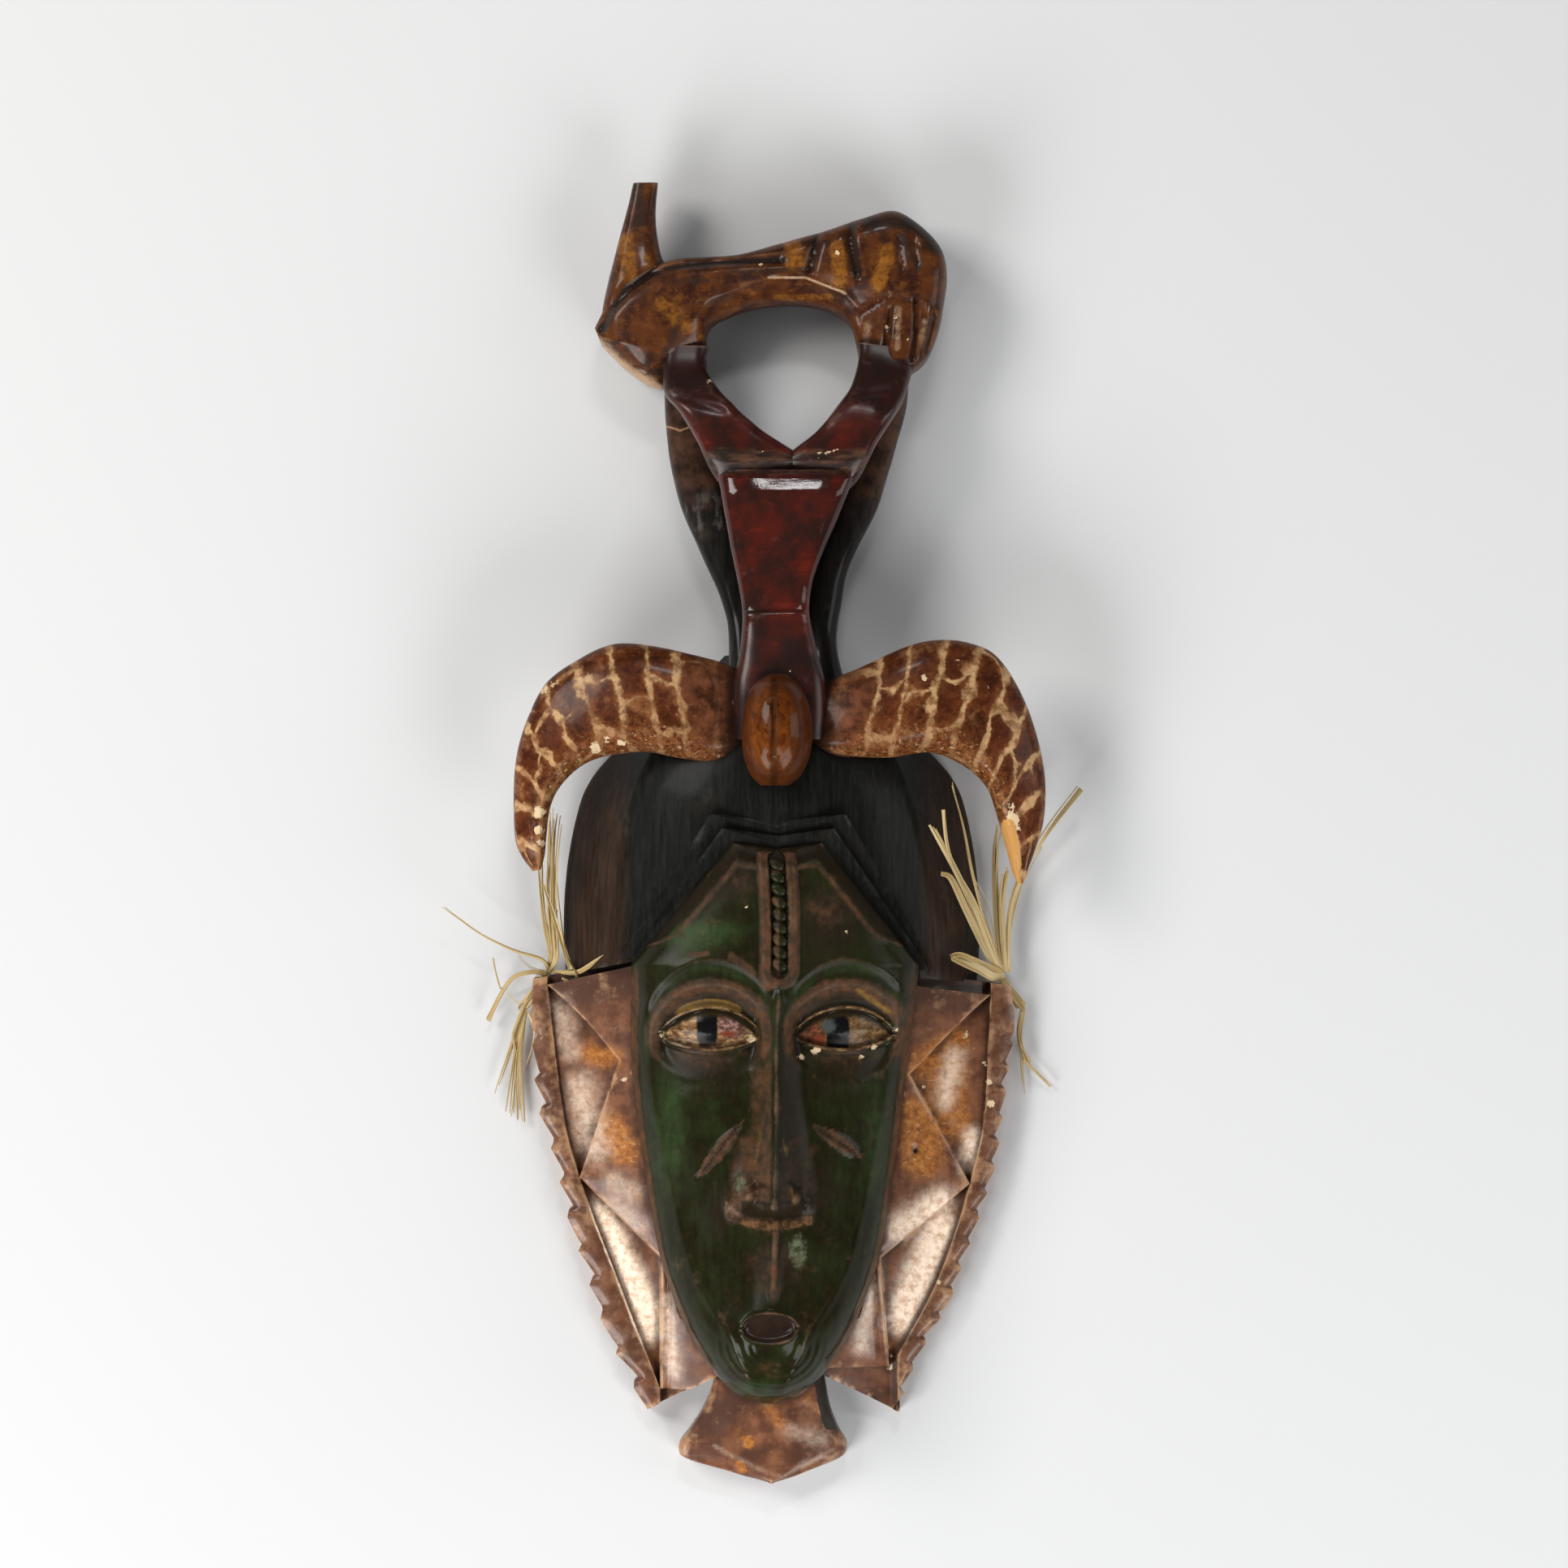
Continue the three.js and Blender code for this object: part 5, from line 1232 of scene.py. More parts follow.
def face_masks(x, y):
    """Where brown wood shows through the green, where the green is bright or nearly black, and the eyes."""
    mid = x - along(FEATURE_LINE, y)
    out = np.abs(mid)
    dx, dy = out - EYE["x"], y - EYE["y"]
    frames = {"face": (x, y), "middle": (mid, y), "eye": (dx, dy)}
    round_spots = {
        kind: most(*[spots(*frames[name], table) for name, table in tables.items()])
        for kind, tables in FACE_SPOTS.items()
    }
    upper = rise(-22, -4, dy)
    ring, rim, edge = brow_ring(dx, dy), socket_ring(dx, dy), hairline_distance(x, y)
    across = np.abs(x - along(FACE_CENTRE, y)) / half_width_of_face(y)
    outside = out_of(dx, dy, EYE)
    strip_at, inner, outer = strip_out(mid, y), STRIP["from"], STRIP["to"]
    borders = rise(inner - 0.6, inner + 0.4, strip_at) * rise(outer + 1.2, outer, strip_at)
    scars = sum(rise(0, 0.15, scar_leaf(x, y, ends)[0]) for ends in SCARS)
    bridge = bump(np.maximum(0, out - 7), 6) * rise(-64, -84, y) * rise(-176, -158, y)
    nostrils = bump(np.maximum(0, out - 14), 7) * rise(-168, -158, y) * rise(-112, -132, y)
    crest = bump(mid, 1.7) * rise(-152, -150, y) * rise(-58, -66, y)
    underside = rise(-159.5, -157.5, y) * rise(-150, -152.5, y) * rise(-14, -12.5, mid) * rise(13.5, 12, mid)
    rubbed = most(
        round_spots["rubbed"],
        streaks(x, y, BROW_MARKS),
        0.75 * bump(edge - 6.8, 1.8) * rise(-52, -44, y),
        0.45 * bump((ring - 1.03) * 30, 1.2) * upper * rise(26, 10, np.abs(dx)),
        0.9 * bump((rim - 1.0) * 23, 3.6) * upper,
        0.85 * bump((rim - 0.93) * 23, 5.0) * upper * rise(2, 9, dy),
        bridge * np.where(mid > 0, 0.31, 0.62),
        nostrils * np.where(mid > 0, 0.45, 0.75),
        0.95 * bump(mid - 1.2, 2.0) * rise(-199, -190, y) * rise(-160, -166, y),
        borders * rise(HAIRLINE_Y - 1, STRIP["top"], y),
        0.85 * rise(0.915, 0.965, across) * rise(-46, -64, y) * rise(-232, -205, y),
        0.8 * scars,
        0.85 * bump(to_path(x, y, [(-1, -30), (-2.6, -60)]) - 3.0, 2.0) * (mid < 0),
    )
    light = most(round_spots["light"], 0.45 * bump((ring - 0.93) * 30, 3) * upper)
    # Besides nearly black blotches and a dark edge along the hairline, this paints shade in the socket above
    # each eye, under each eye, down the right flank of the nose and on its underside.
    dark = most(
        round_spots["dark"],
        0.8 * bump(np.maximum(0, mid - 7), 6) * (mid > 0) * rise(-66, -84, y) * rise(-164, -154, y),
        0.85 * rise(1.0, 0.88, rim) * rise(0.2, 1.5, outside) * rise(4, 9, dy),
        (1 - rise(3.6, 5.4, edge)) * rise(-54, -48, y),
        0.9 * underside,
    )
    inside = np.minimum(-outside, EYE["half"] - 0.4 - np.abs(dx))
    over_left_eye = bump(outside - 2.4, 2.0) * rise(0, 3, dy) * rise(-12, -18, mid) * rise(-46, -40, mid)
    lips = np.minimum(-out_of(x - MOUTH["x"], y - MOUTH["y"], MOUTH), MOUTH["half"] - np.abs(x - MOUTH["x"]))
    masks = {
        name: most(*[patch(x, y, *place, 5 if name == "pupil" else 2) for place in places])
        for name, places in EYE_PATCHES.items()
    }
    masks.update(
        rubbed=rubbed * (1 - crest) * (1 - 0.8 * underside),
        light=light,
        dark=dark,
        gold=most(over_left_eye, streaks(x, y, GOLD_STROKES)),
        eyeball=inside,
        lid=within(dx, EYE) * bump(outside - 0.6, 0.8),
        frame=nose_frame(x, y),
        lips=lips,
        brow_shade=rise(6.0, 1.6, EYE["lift"] * opening(dx, EYE) + 1 - dy) * rise(-0.5, 0.5, inside),
    )
    return masks


def collar_masks(x, y):
    """The collar: pale, orange and dark places, and the tan line along the zigzag ridge and the border. The
    bib has patches of its own, and painted shade, nearly black, down the bevel of its right side."""
    kinds = {"light": ("cream", 0.12), "rubbed": ("orange", 0), "dark": ("dark", 0.55)}
    masks = {name: np.zeros(len(x)) for name in kinds}
    masks["ridge"] = np.full(len(x), 30.0)
    bib_here = (np.abs(across_bib(x, y)) < 1.1) & (y < BIB_TOP_Y)
    for side, wing in WINGS.items():
        here = side * x > 12
        back = y - top_lift(wing, side * x, y)
        border = along(wing["border"], back)
        path = [(side * px, py) for py, px in wing["zigzag"]]
        line = np.minimum(to_path(x, back, path), np.abs(side * x - border))
        masks["ridge"] = np.where(here, line, masks["ridge"])
        for name, (kind, on_rim) in kinds.items():
            share = np.where(side * x > border + 0.4, on_rim, streaks(x, y, wing[kind]))
            masks[name] = np.where(here, share, masks[name])
    for name, (kind, on_rim) in kinds.items():
        masks[name] = np.where(bib_here, streaks(x, y, BIB_PATCHES[kind]), masks[name])
    # Painted shade down the steep bevel of the bib's right side, as a dark share above 1.
    bevel = rise(0.8, 0.87, across_bib(x, y)) * rise(-256, -250, y)
    masks["dark"] = np.maximum(masks["dark"], 2 * bevel * bib_here)
    return masks


def neighbours(edges, values, count):
    """The mean of a value over the edges at each vertex. It is given for each end of each edge."""
    total = np.bincount(edges.T.ravel(), values.ravel(), count)
    return total / np.maximum(np.bincount(edges.ravel(), minlength=count), 1)


def spread_over(values, edges, turns):
    """Averages a value with the neighbours of its vertex, several times."""
    for _ in range(turns):
        values = 0.5 * values + 0.5 * neighbours(edges, values[edges.T[::-1]], len(values))
    return values


def bend(points, normals, edges):
    """How sharply the surface bends at each vertex, above 0 on ridges and below 0 in creases. Over each edge
    it is the change of normal along it, divided by its length."""
    a, b = edges.T
    run = points[b] - points[a]
    length = np.maximum(np.linalg.norm(run, axis=1), 1e-3)
    turn = np.einsum("ij,ij->i", normals[b] - normals[a], run) / length
    return neighbours(edges, np.tile(turn / np.maximum(length, 0.35), 2), len(points))


def read(items, name, kind, width=1):
    """One value, or a row of values, of each item of a mesh."""
    values = np.empty(len(items) * width, kind)
    items.foreach_get(name, values)
    return values.reshape(-1, width) if width > 1 else values


def write(mesh, name, values):
    """Keeps a value at each vertex, as an attribute of this name."""
    layer = mesh.attributes.get(name) or mesh.attributes.new(name, "FLOAT", "POINT")
    layer.data.foreach_set("value", np.asarray(values, np.float32))


def surface_of(mesh):
    """The points and normals of a mesh, in millimetres."""
    points = read(mesh.vertices, "co", np.float32, 3).astype(float) / MM
    return points, read(mesh.vertex_normals, "vector", np.float32, 3).astype(float)


def hand_carve(mesh):
    """Moves each point along its normal by slow hills and finer ones, as a knife leaves them, and sinks the
    chips and knot holes. The back plane and the hollow stay as they are."""
    points, normals = surface_of(mesh)
    x, y, z = points.T
    in_hollow = (np.hypot((x - HAIR_CENTRE) / 60, (y + 80) / 130) < 1) & (normals[:, 2] < 0.1)
    knife = np.abs(hills(points * np.array([1, 0.45, 1]), 9, 3))
    move = 0.16 * hills(points, 17, 1) + 0.07 * hills(points, 6, 2)
    move = move + rise(70, 90, y) * (0.22 * hills(points, 12, 4) + 0.3 * (knife - 0.4))
    round_eyes = (np.abs(x) < 54) & (y < -62) & (y > -105)
    move = np.where(round_eyes, 0.25 * move, move)
    sunk = sum(0.25 * rise(radius * 1.1, radius * 0.7, np.hypot(x - cx, y - cy)) for cx, cy, radius in CHIPS)
    sunk = sunk + sum(1.4 * bump(np.hypot(x - cx, y - cy), radius) for cx, cy, radius in KNOT_HOLES)
    move = (move - sunk * (normals[:, 2] > 0.1)) * rise(0.6, 4, z) * ~in_hollow
    points = points + normals * move[:, None]
    mesh.vertices.foreach_set("co", (points * MM).ravel())
    mesh.update()


def paint_attributes(mesh):
    """Writes the masks that the finishes read, and gives the flat back its own finish."""
    points, normals = surface_of(mesh)
    x, y = points.T[:2]
    edges = read(mesh.edges, "vertices", np.int32, 2)
    sharp = bend(points, normals, edges)
    on_beads = strip_out(x - along(FEATURE_LINE, y), y) < STRIP["from"]
    sharp = np.where(on_beads & (y < STRIP["top"] + 2) & (y > NOSE_TOP_Y), np.minimum(sharp, 0), sharp)
    slots = read(mesh.polygons, "material_index", np.int32)
    on_back = read(mesh.polygons, "center", np.float32, 3)[:, 2] < 0.6 * MM
    facing = read(mesh.polygons, "normal", np.float32, 3)[:, 2]
    slots[on_back & (facing < -0.7)] = FINISHES.index("back_wood")
    mesh.polygons.foreach_set("material_index", slots)
    finish_at = np.zeros(len(points), np.int32)
    totals = read(mesh.polygons, "loop_total", np.int32)
    finish_at[read(mesh.loops, "vertex_index", np.int32)] = np.repeat(slots, totals)
    masks = face_masks(x, y)
    animal_masks = {kind: streaks(x, y, table) for kind, table in ANIMAL_PATCHES.items()}
    for finish, others in (("collar_stain", collar_masks(x, y)), ("tortoise_paint", animal_masks)):
        here = finish_at == FINISHES.index(finish)
        for name, values in others.items():
            masks[name] = np.where(here, values, masks[name]) if name in masks else values
    masks["chips"] = np.where(normals[:, 2] > -0.3, dots(x, y, CHIPS), -30)
    masks["knots"] = dots(x, y, KNOT_HOLES)
    masks["splinter"] = 4.2 - to_path(x, y, BARE_SPLINTER) - 0.12 * np.abs(y + 6)
    masks["edge"] = spread_over(np.clip(sharp, -1, 1), edges, 2)
    # How deep the creases are: the finishes darken them with dust and painted shade.
    masks["crease"] = spread_over(np.clip(-sharp, 0, 0.6), edges, 7)
    for name, values in masks.items():
        write(mesh, name, np.clip(values, -30, 30))


# Finishes

CHIP_GROUND = (0.55, 0.42, 0.26)


class Value:
    """A number or a colour that a finish works out at each place on its surface."""

    def __init__(self, finish, socket):
        self.finish, self.socket = finish, socket

    def __add__(self, other):
        return self.finish.math("ADD", self, other)

    def __sub__(self, other):
        return self.finish.math("SUBTRACT", self, other)

    def __mul__(self, other):
        return self.finish.math("MULTIPLY", self, other)

    def __abs__(self):
        return self.finish.math("ABSOLUTE", self)

    __radd__, __rmul__ = __add__, __mul__

    def step(self, low, high, to=1.0):
        """0 where the value is low and 1 (or to) where it is high, with a smooth change."""
        inputs = {"Value": self, "From Min": low, "From Max": high, "To Max": to}
        return self.finish.value("ShaderNodeMapRange", inputs, interpolation_type="SMOOTHSTEP")

    def tint(self, first, second):
        """The first colour where the value is 0, the second where it is 1, and a mix of them between."""
        a, b = (colour if isinstance(colour, Value) else (*colour, 1.0) for colour in (first, second))
        return self.finish.value("ShaderNodeMix", {0: self, 6: a, 7: b}, 2, data_type="RGBA")


class Finish:
    """The node tree of one finish and the colour laid so far. Wavelengths and heights are in millimetres."""

    def __init__(self, name):
        material = bpy.data.materials.get(name) or bpy.data.materials.new(name)
        material.use_nodes = True
        self.tree = material.node_tree
        self.tree.nodes.clear()
        self.place = self.millimetres("ShaderNodeTexCoord", "Object")
        self.colour = self.ridge = self.chip = None

    def node(self, kind, inputs=None, **settings):
        """Adds a node. An input is a number, a colour, or the Value that is linked to it."""
        made = self.tree.nodes.new(kind)
        for key, value in settings.items():
            setattr(made, key, value)
        for key, value in (inputs or {}).items():
            if isinstance(value, Value):
                self.tree.links.new(value.socket, made.inputs[key])
            else:
                made.inputs[key].default_value = value
        return made

    def value(self, kind, inputs=None, output=0, **settings):
        """One output of a new node."""
        return Value(self, self.node(kind, inputs, **settings).outputs[output])

    def math(self, operation, a, b=0.0, c=0.0):
        return self.value("ShaderNodeMath", {0: a, 1: b, 2: c}, operation=operation)

    def vector(self, operation, a, b):
        inputs = {0: a, "Scale" if operation == "SCALE" else 1: b}
        return self.value("ShaderNodeVectorMath", inputs, operation=operation)

    def millimetres(self, kind, output, **settings):
        """A place that a new node gives in metres, in millimetres."""
        return self.vector("SCALE", self.value(kind, None, output, **settings), 1 / MM)

    def carving(self):
        """The uv of the piece: how far along it, and how far round it."""
        return self.millimetres("ShaderNodeUVMap", 0, uv_map="carving")

    def parts(self, vector=None):
        """The parts of a vector across, up and out. It is the place on the mask unless another is given."""
        made = self.node("ShaderNodeSeparateXYZ", {0: vector or self.place})
        return [Value(self, part) for part in made.outputs]

    def mask(self, name):
        """A mask that is kept at the vertices."""
        return self.value("ShaderNodeAttribute", None, "Fac", attribute_name=name)

    def noise(self, wavelength, detail=3.0, rough=0.55, stretch=(1, 1, 1), seed=0, warp=0.0, place=None):
        """Cloudy noise from about 0.2 to 0.8, with a middle of 0.5."""
        squeezed = self.vector("MULTIPLY", place or self.place, [1 / (wavelength * s) for s in stretch])
        moved = self.vector("ADD", squeezed, (seed * 7.3, seed * 3.1, seed * 5.7))
        inputs = {"Vector": moved, "Scale": 1.0, "Detail": detail, "Roughness": rough, "Distortion": warp}
        return self.value("ShaderNodeTexNoise", inputs, "Fac")

    def ragged(self, name, amount, wavelength, low, high, seed, stretch=(1, 1, 1)):
        """A patch whose edge breaks up: noise is added to its mask before the step."""
        noise = self.noise(wavelength, 4.0, 0.65, stretch, seed)
        return (self.mask(name) + (noise - 0.5) * amount).step(low, high)

    def over(self, share, colour):
        """Lays a colour over the others, by a share from 0 to 1."""
        self.colour = share.tint(self.colour, colour)

    def shade(self, amount):
        """Makes the colour lighter or darker by an amount that is 1 where it stays."""
        self.colour = self.vector("SCALE", self.colour, amount)

    def wear(self, under, dust_and_shade, low=0.05, high=0.3):
        """Rubs the paint off the ridges to what lies under it, darkens the creases with dust and painted
        shade, and chips it down to the ground."""
        fine = self.noise(2.2, 4.0, 0.7, seed=9) - 0.5
        uneven = self.noise(11, 2.0, seed=17) - 0.5
        self.ridge = (self.mask("edge") + fine * 0.35 + uneven * 0.7).step(low, high)
        self.over(self.ridge * 0.75, under)
        # Dust and painted shade, darker in the creases.
        self.over((self.mask("crease") + fine * 0.1).step(0.02, 0.16) * 0.7, dust_and_shade)
        self.chip = (self.mask("chips") + fine * 5.0).step(0.0, 0.35)
        self.over(self.chip, CHIP_GROUND)

    def done(self, rough, height, coat=0.0, coat_rough=0.1, specular=0.5):
        """Ends the finish, with its roughness, its fine relief and its coat of varnish."""
        bump = self.value("ShaderNodeBump", {"Height": height, "Distance": MM, "Strength": 1.0})
        inputs = {"Base Color": self.colour, "Roughness": rough, "Normal": bump}
        inputs.update({"Coat Weight": coat, "Coat Roughness": coat_rough, "Specular IOR Level": specular})
        self.node("ShaderNodeOutputMaterial", {0: self.value("ShaderNodeBsdfPrincipled", inputs)})


def paint_eyes(paint):
    """The eyes: mottled balls with black pupils, shaded under the brow, between tan lids."""
    skin = paint.colour
    grain = paint.noise(2.0, 4.0, 0.68, (1.8, 0.9, 1), 11)
    fleck = paint.noise(2.2, 4.0, 0.7, seed=12)
    streaky = paint.noise(4.5, 3.0, 0.6, (1.6, 1, 1), 20)
    paint.colour = grain.step(0.38, 0.66).tint((0.085, 0.04, 0.015), (0.36, 0.22, 0.1))
    paint.over(streaky.step(0.46, 0.66, 0.75), (0.055, 0.024, 0.01))
    paint.over(paint.parts()[0].step(-1, 1, 0.55), (0.045, 0.022, 0.009))
    flush = fleck.step(0.42, 0.66).tint((0.075, 0.032, 0.024), (0.3, 0.175, 0.15))
    rust = fleck.step(0.4, 0.66).tint((0.045, 0.017, 0.009), (0.15, 0.05, 0.024))
    # The glint is a painted reflection on the right pupil.
    for name, colour, amount, low, high, seed in (
        ("flush", flush, 2.4, -0.8, 0.9, 13),
        ("rust", rust, 2.6, -0.8, 0.9, 13),
        ("ember", (0.13, 0.03, 0.013), 2.8, -0.8, 0.9, 13),
        ("pupil", (0.004, 0.004, 0.0045), 1.6, -0.5, 0.6, 19),
        ("glint", (0.045, 0.052, 0.05), 4.0, -0.8, 2.2, 21),
    ):
        paint.over(paint.ragged(name, amount, 2.6, low, high, seed), colour)
    paint.over(paint.ragged("brow_shade", 0.5, 3, 0.35, 0.95, 22), (0.018, 0.013, 0.006))
    inside = paint.mask("eyeball")
    # Painted shade: the ball darkens towards the lids.
    paint.shade(0.45 + inside.step(0.0, 2.6, 0.55))
    paint.colour = inside.step(-0.1, 0.3).tint(skin, paint.colour)
    tan = grain.step(0.35, 0.65).tint((0.035, 0.016, 0.008), (0.26, 0.15, 0.065))
    paint.over(paint.ragged("lid", 0.8, 1.8, 0.4, 0.85, 14) * 0.8, tan)
    paint.over(paint.chip, CHIP_GROUND)


def face_paint(paint):
    """Clouded dark green, bright and nearly black in places, rubbed through to brown."""
    strokes = paint.noise(2.6, 3.0, 0.6, (0.8, 4, 1), 1)
    cloud = paint.noise(10, 5.0, 0.62, (1, 1.3, 1), 2)
    mottle = paint.noise(4.2, 5.0, 0.68, seed=16)
    paint.colour = cloud.step(0.34, 0.68).tint((0.0088, 0.0084, 0.003), (0.0135, 0.0158, 0.005))
    # Bright green patches; the tall strips down the edges of the cheeks are painted highlights.
    paint.over(paint.ragged("light", 0.8, 6.5, 0.2, 0.95, 4), (0.022, 0.039, 0.012))
    # Nearly black patches, with painted shade in the eye sockets, under the eyes and on the nose.
    paint.over(paint.ragged("dark", 0.8, 8, 0.25, 0.85, 5), (0.0125, 0.0085, 0.0038))
    paint.over((mottle * 0.6 + cloud * -0.4).step(0.1, 0.26, 0.75), (0.02, 0.0125, 0.0058))
    rub = paint.ragged("rubbed", 0.8, 5.0, 0.28, 0.85, 6)
    brown = paint.noise(6, 4.0, 0.65, seed=7).step(0.35, 0.68)
    paint.over(rub * 0.85, brown.tint((0.036, 0.023, 0.014), (0.098, 0.042, 0.02)))
    paint.over(paint.ragged("gold", 0.7, 2.4, 0.3, 0.8, 15) * 0.8, (0.21, 0.115, 0.022))
    band = mottle.step(0.38, 0.62).tint((0.03, 0.015, 0.008), (0.16, 0.08, 0.036))
    paint.over(paint.ragged("frame", 1.5, 3.2, 0.2, 1.0, 17) * 0.8, band)
    # Pale whitish-green patches on the nose and the upper lip are painted highlights.
    pale = paint.ragged("pale", 4.5, 2.6, -0.8, 1.6, 18)
    paint.over(pale * (0.12 + mottle.step(0.4, 0.62, 0.55)), (0.13, 0.15, 0.09))
    paint.wear((0.12, 0.07, 0.038), (0.009, 0.007, 0.004), 0.1, 0.42)
    paint.shade(0.84 + strokes.step(0.25, 0.75, 0.3))
    lips = mottle.tint((0.011, 0.007, 0.0055), (0.034, 0.017, 0.013))
    paint.over(paint.mask("lips").step(-0.6, 0.4) * 0.8, lips)
    paint_eyes(paint)
    dull = paint.mask("dark") * 0.25 + paint.mask("light") * 0.12 + paint.chip * 0.3
    rough = 0.12 + strokes * 0.1 + rub * 0.22 + dull + paint.parts()[1].step(-80, -66, 0.09)
    paint.done(rough, strokes * 0.05 + paint.noise(1.4, 3.0, seed=8) * 0.03, specular=0.1)


def hair_paint(paint):
    """Black in the middle and dark brown down the sides, in long strokes."""
    strokes = paint.noise(2.4, 4.0, 0.65, (0.8, 9, 1), 1)
    streaks = strokes.step(0.3, 0.75)
    inner = streaks.tint((0.0045, 0.0048, 0.004), (0.0125, 0.013, 0.0115))
    outer = streaks.tint((0.014, 0.0075, 0.005), (0.036, 0.019, 0.011))
    paint.colour = abs(paint.parts()[0]).step(58, 68).tint(inner, outer)
    paint.over(paint.noise(16, 4.0, 0.6, seed=5).step(0.56, 0.75) * 0.4, (0.02, 0.013, 0.009))
    # The grey on the ridges is partly worn paint and partly a painted highlight.
    paint.wear((0.05, 0.047, 0.04), (0.004, 0.0035, 0.003), 0.08, 0.4)
    height = strokes * 0.05 + paint.noise(0.9, 2.0, seed=8) * 0.012
    paint.done(0.34 + strokes * 0.12 + paint.chip * 0.3, height, 0.03, 0.14, 0.05)


def collar_stain(paint):
    """Copper brown with dark, orange and cream patches, grime, tan lines along the ridges, and knots. Some of
    the cream is a painted sheen, the tan lines carry a painted highlight, and the bib's bevel is painted
    shade.
    """
    cloud = paint.noise(8, 5.0, 0.62, seed=1)
    fine = paint.noise(2.6, 5.0, 0.7, seed=2)
    streak = paint.noise(2.2, 3.0, 0.6, (1, 9, 1), 3)
    scratch = paint.noise(1.1, 2.0, 0.6, (7, 1.2, 1), 12).step(0.62, 0.72)
    paint.colour = cloud.step(0.33, 0.68).tint((0.08, 0.029, 0.015), (0.185, 0.074, 0.035))
    paint.over(paint.ragged("dark", 0.7, 7, 0.2, 0.95, 4), (0.064, 0.025, 0.0135))
    orange = fine.step(0.36, 0.66).tint((0.22, 0.068, 0.014), (0.42, 0.165, 0.036))
    paint.over(paint.ragged("rubbed", 0.6, 5, 0.2, 0.95, 5), orange)
    paint.over(scratch * paint.mask("rubbed").step(0.3, 0.8, 0.5), (0.55, 0.34, 0.16))
    # Cream: pale rubbed stain, and on the lower pockets also a painted sheen.
    cream = paint.noise(3, 5.0, 0.7, seed=14).step(0.3, 0.6).tint((0.56, 0.36, 0.23), (0.93, 0.75, 0.59))
    paint.over(paint.ragged("light", 0.42, 4.5, 0.05, 0.95, 6), cream)
    paint.shade(0.94 + streak.step(0.3, 0.7, 0.12))
    paint.over((fine + streak * 0.3).step(0.8, 0.92) * 0.25, (0.5, 0.33, 0.2))
    paint.over(paint.noise(2.8, 5.0, 0.7, (1, 3, 1), 13).step(0.6, 0.76, 0.45), (0.08, 0.034, 0.022))
    # Tan lines along the ridges: worn stain, and a painted highlight on the ridge.
    line = (paint.mask("ridge") + fine * 1.2).step(1.4, 0.7) * cloud.step(0.42, 0.6, 0.75)
    paint.over(line, fine.tint((0.24, 0.11, 0.05), (0.66, 0.44, 0.25)))
    paint.wear((0.42, 0.24, 0.13), (0.035, 0.016, 0.01))
    # Painted shade, nearly black, down the bevel of the bib's right side.
    paint.over(paint.mask("dark").step(1.1, 1.5), fine.tint((0.006, 0.005, 0.004), (0.035, 0.027, 0.021)))
    paint.over(paint.mask("knots").step(-0.2, 0.5), (0.012, 0.008, 0.006))
    height = streak * 0.04 + fine * 0.03 + scratch * -0.03
    paint.done(0.32 + fine * 0.16 + paint.chip * 0.3, height, 0.22, 0.14, 0.15)


RING_PITCH = 13.5
LINK_PITCH = 14.0


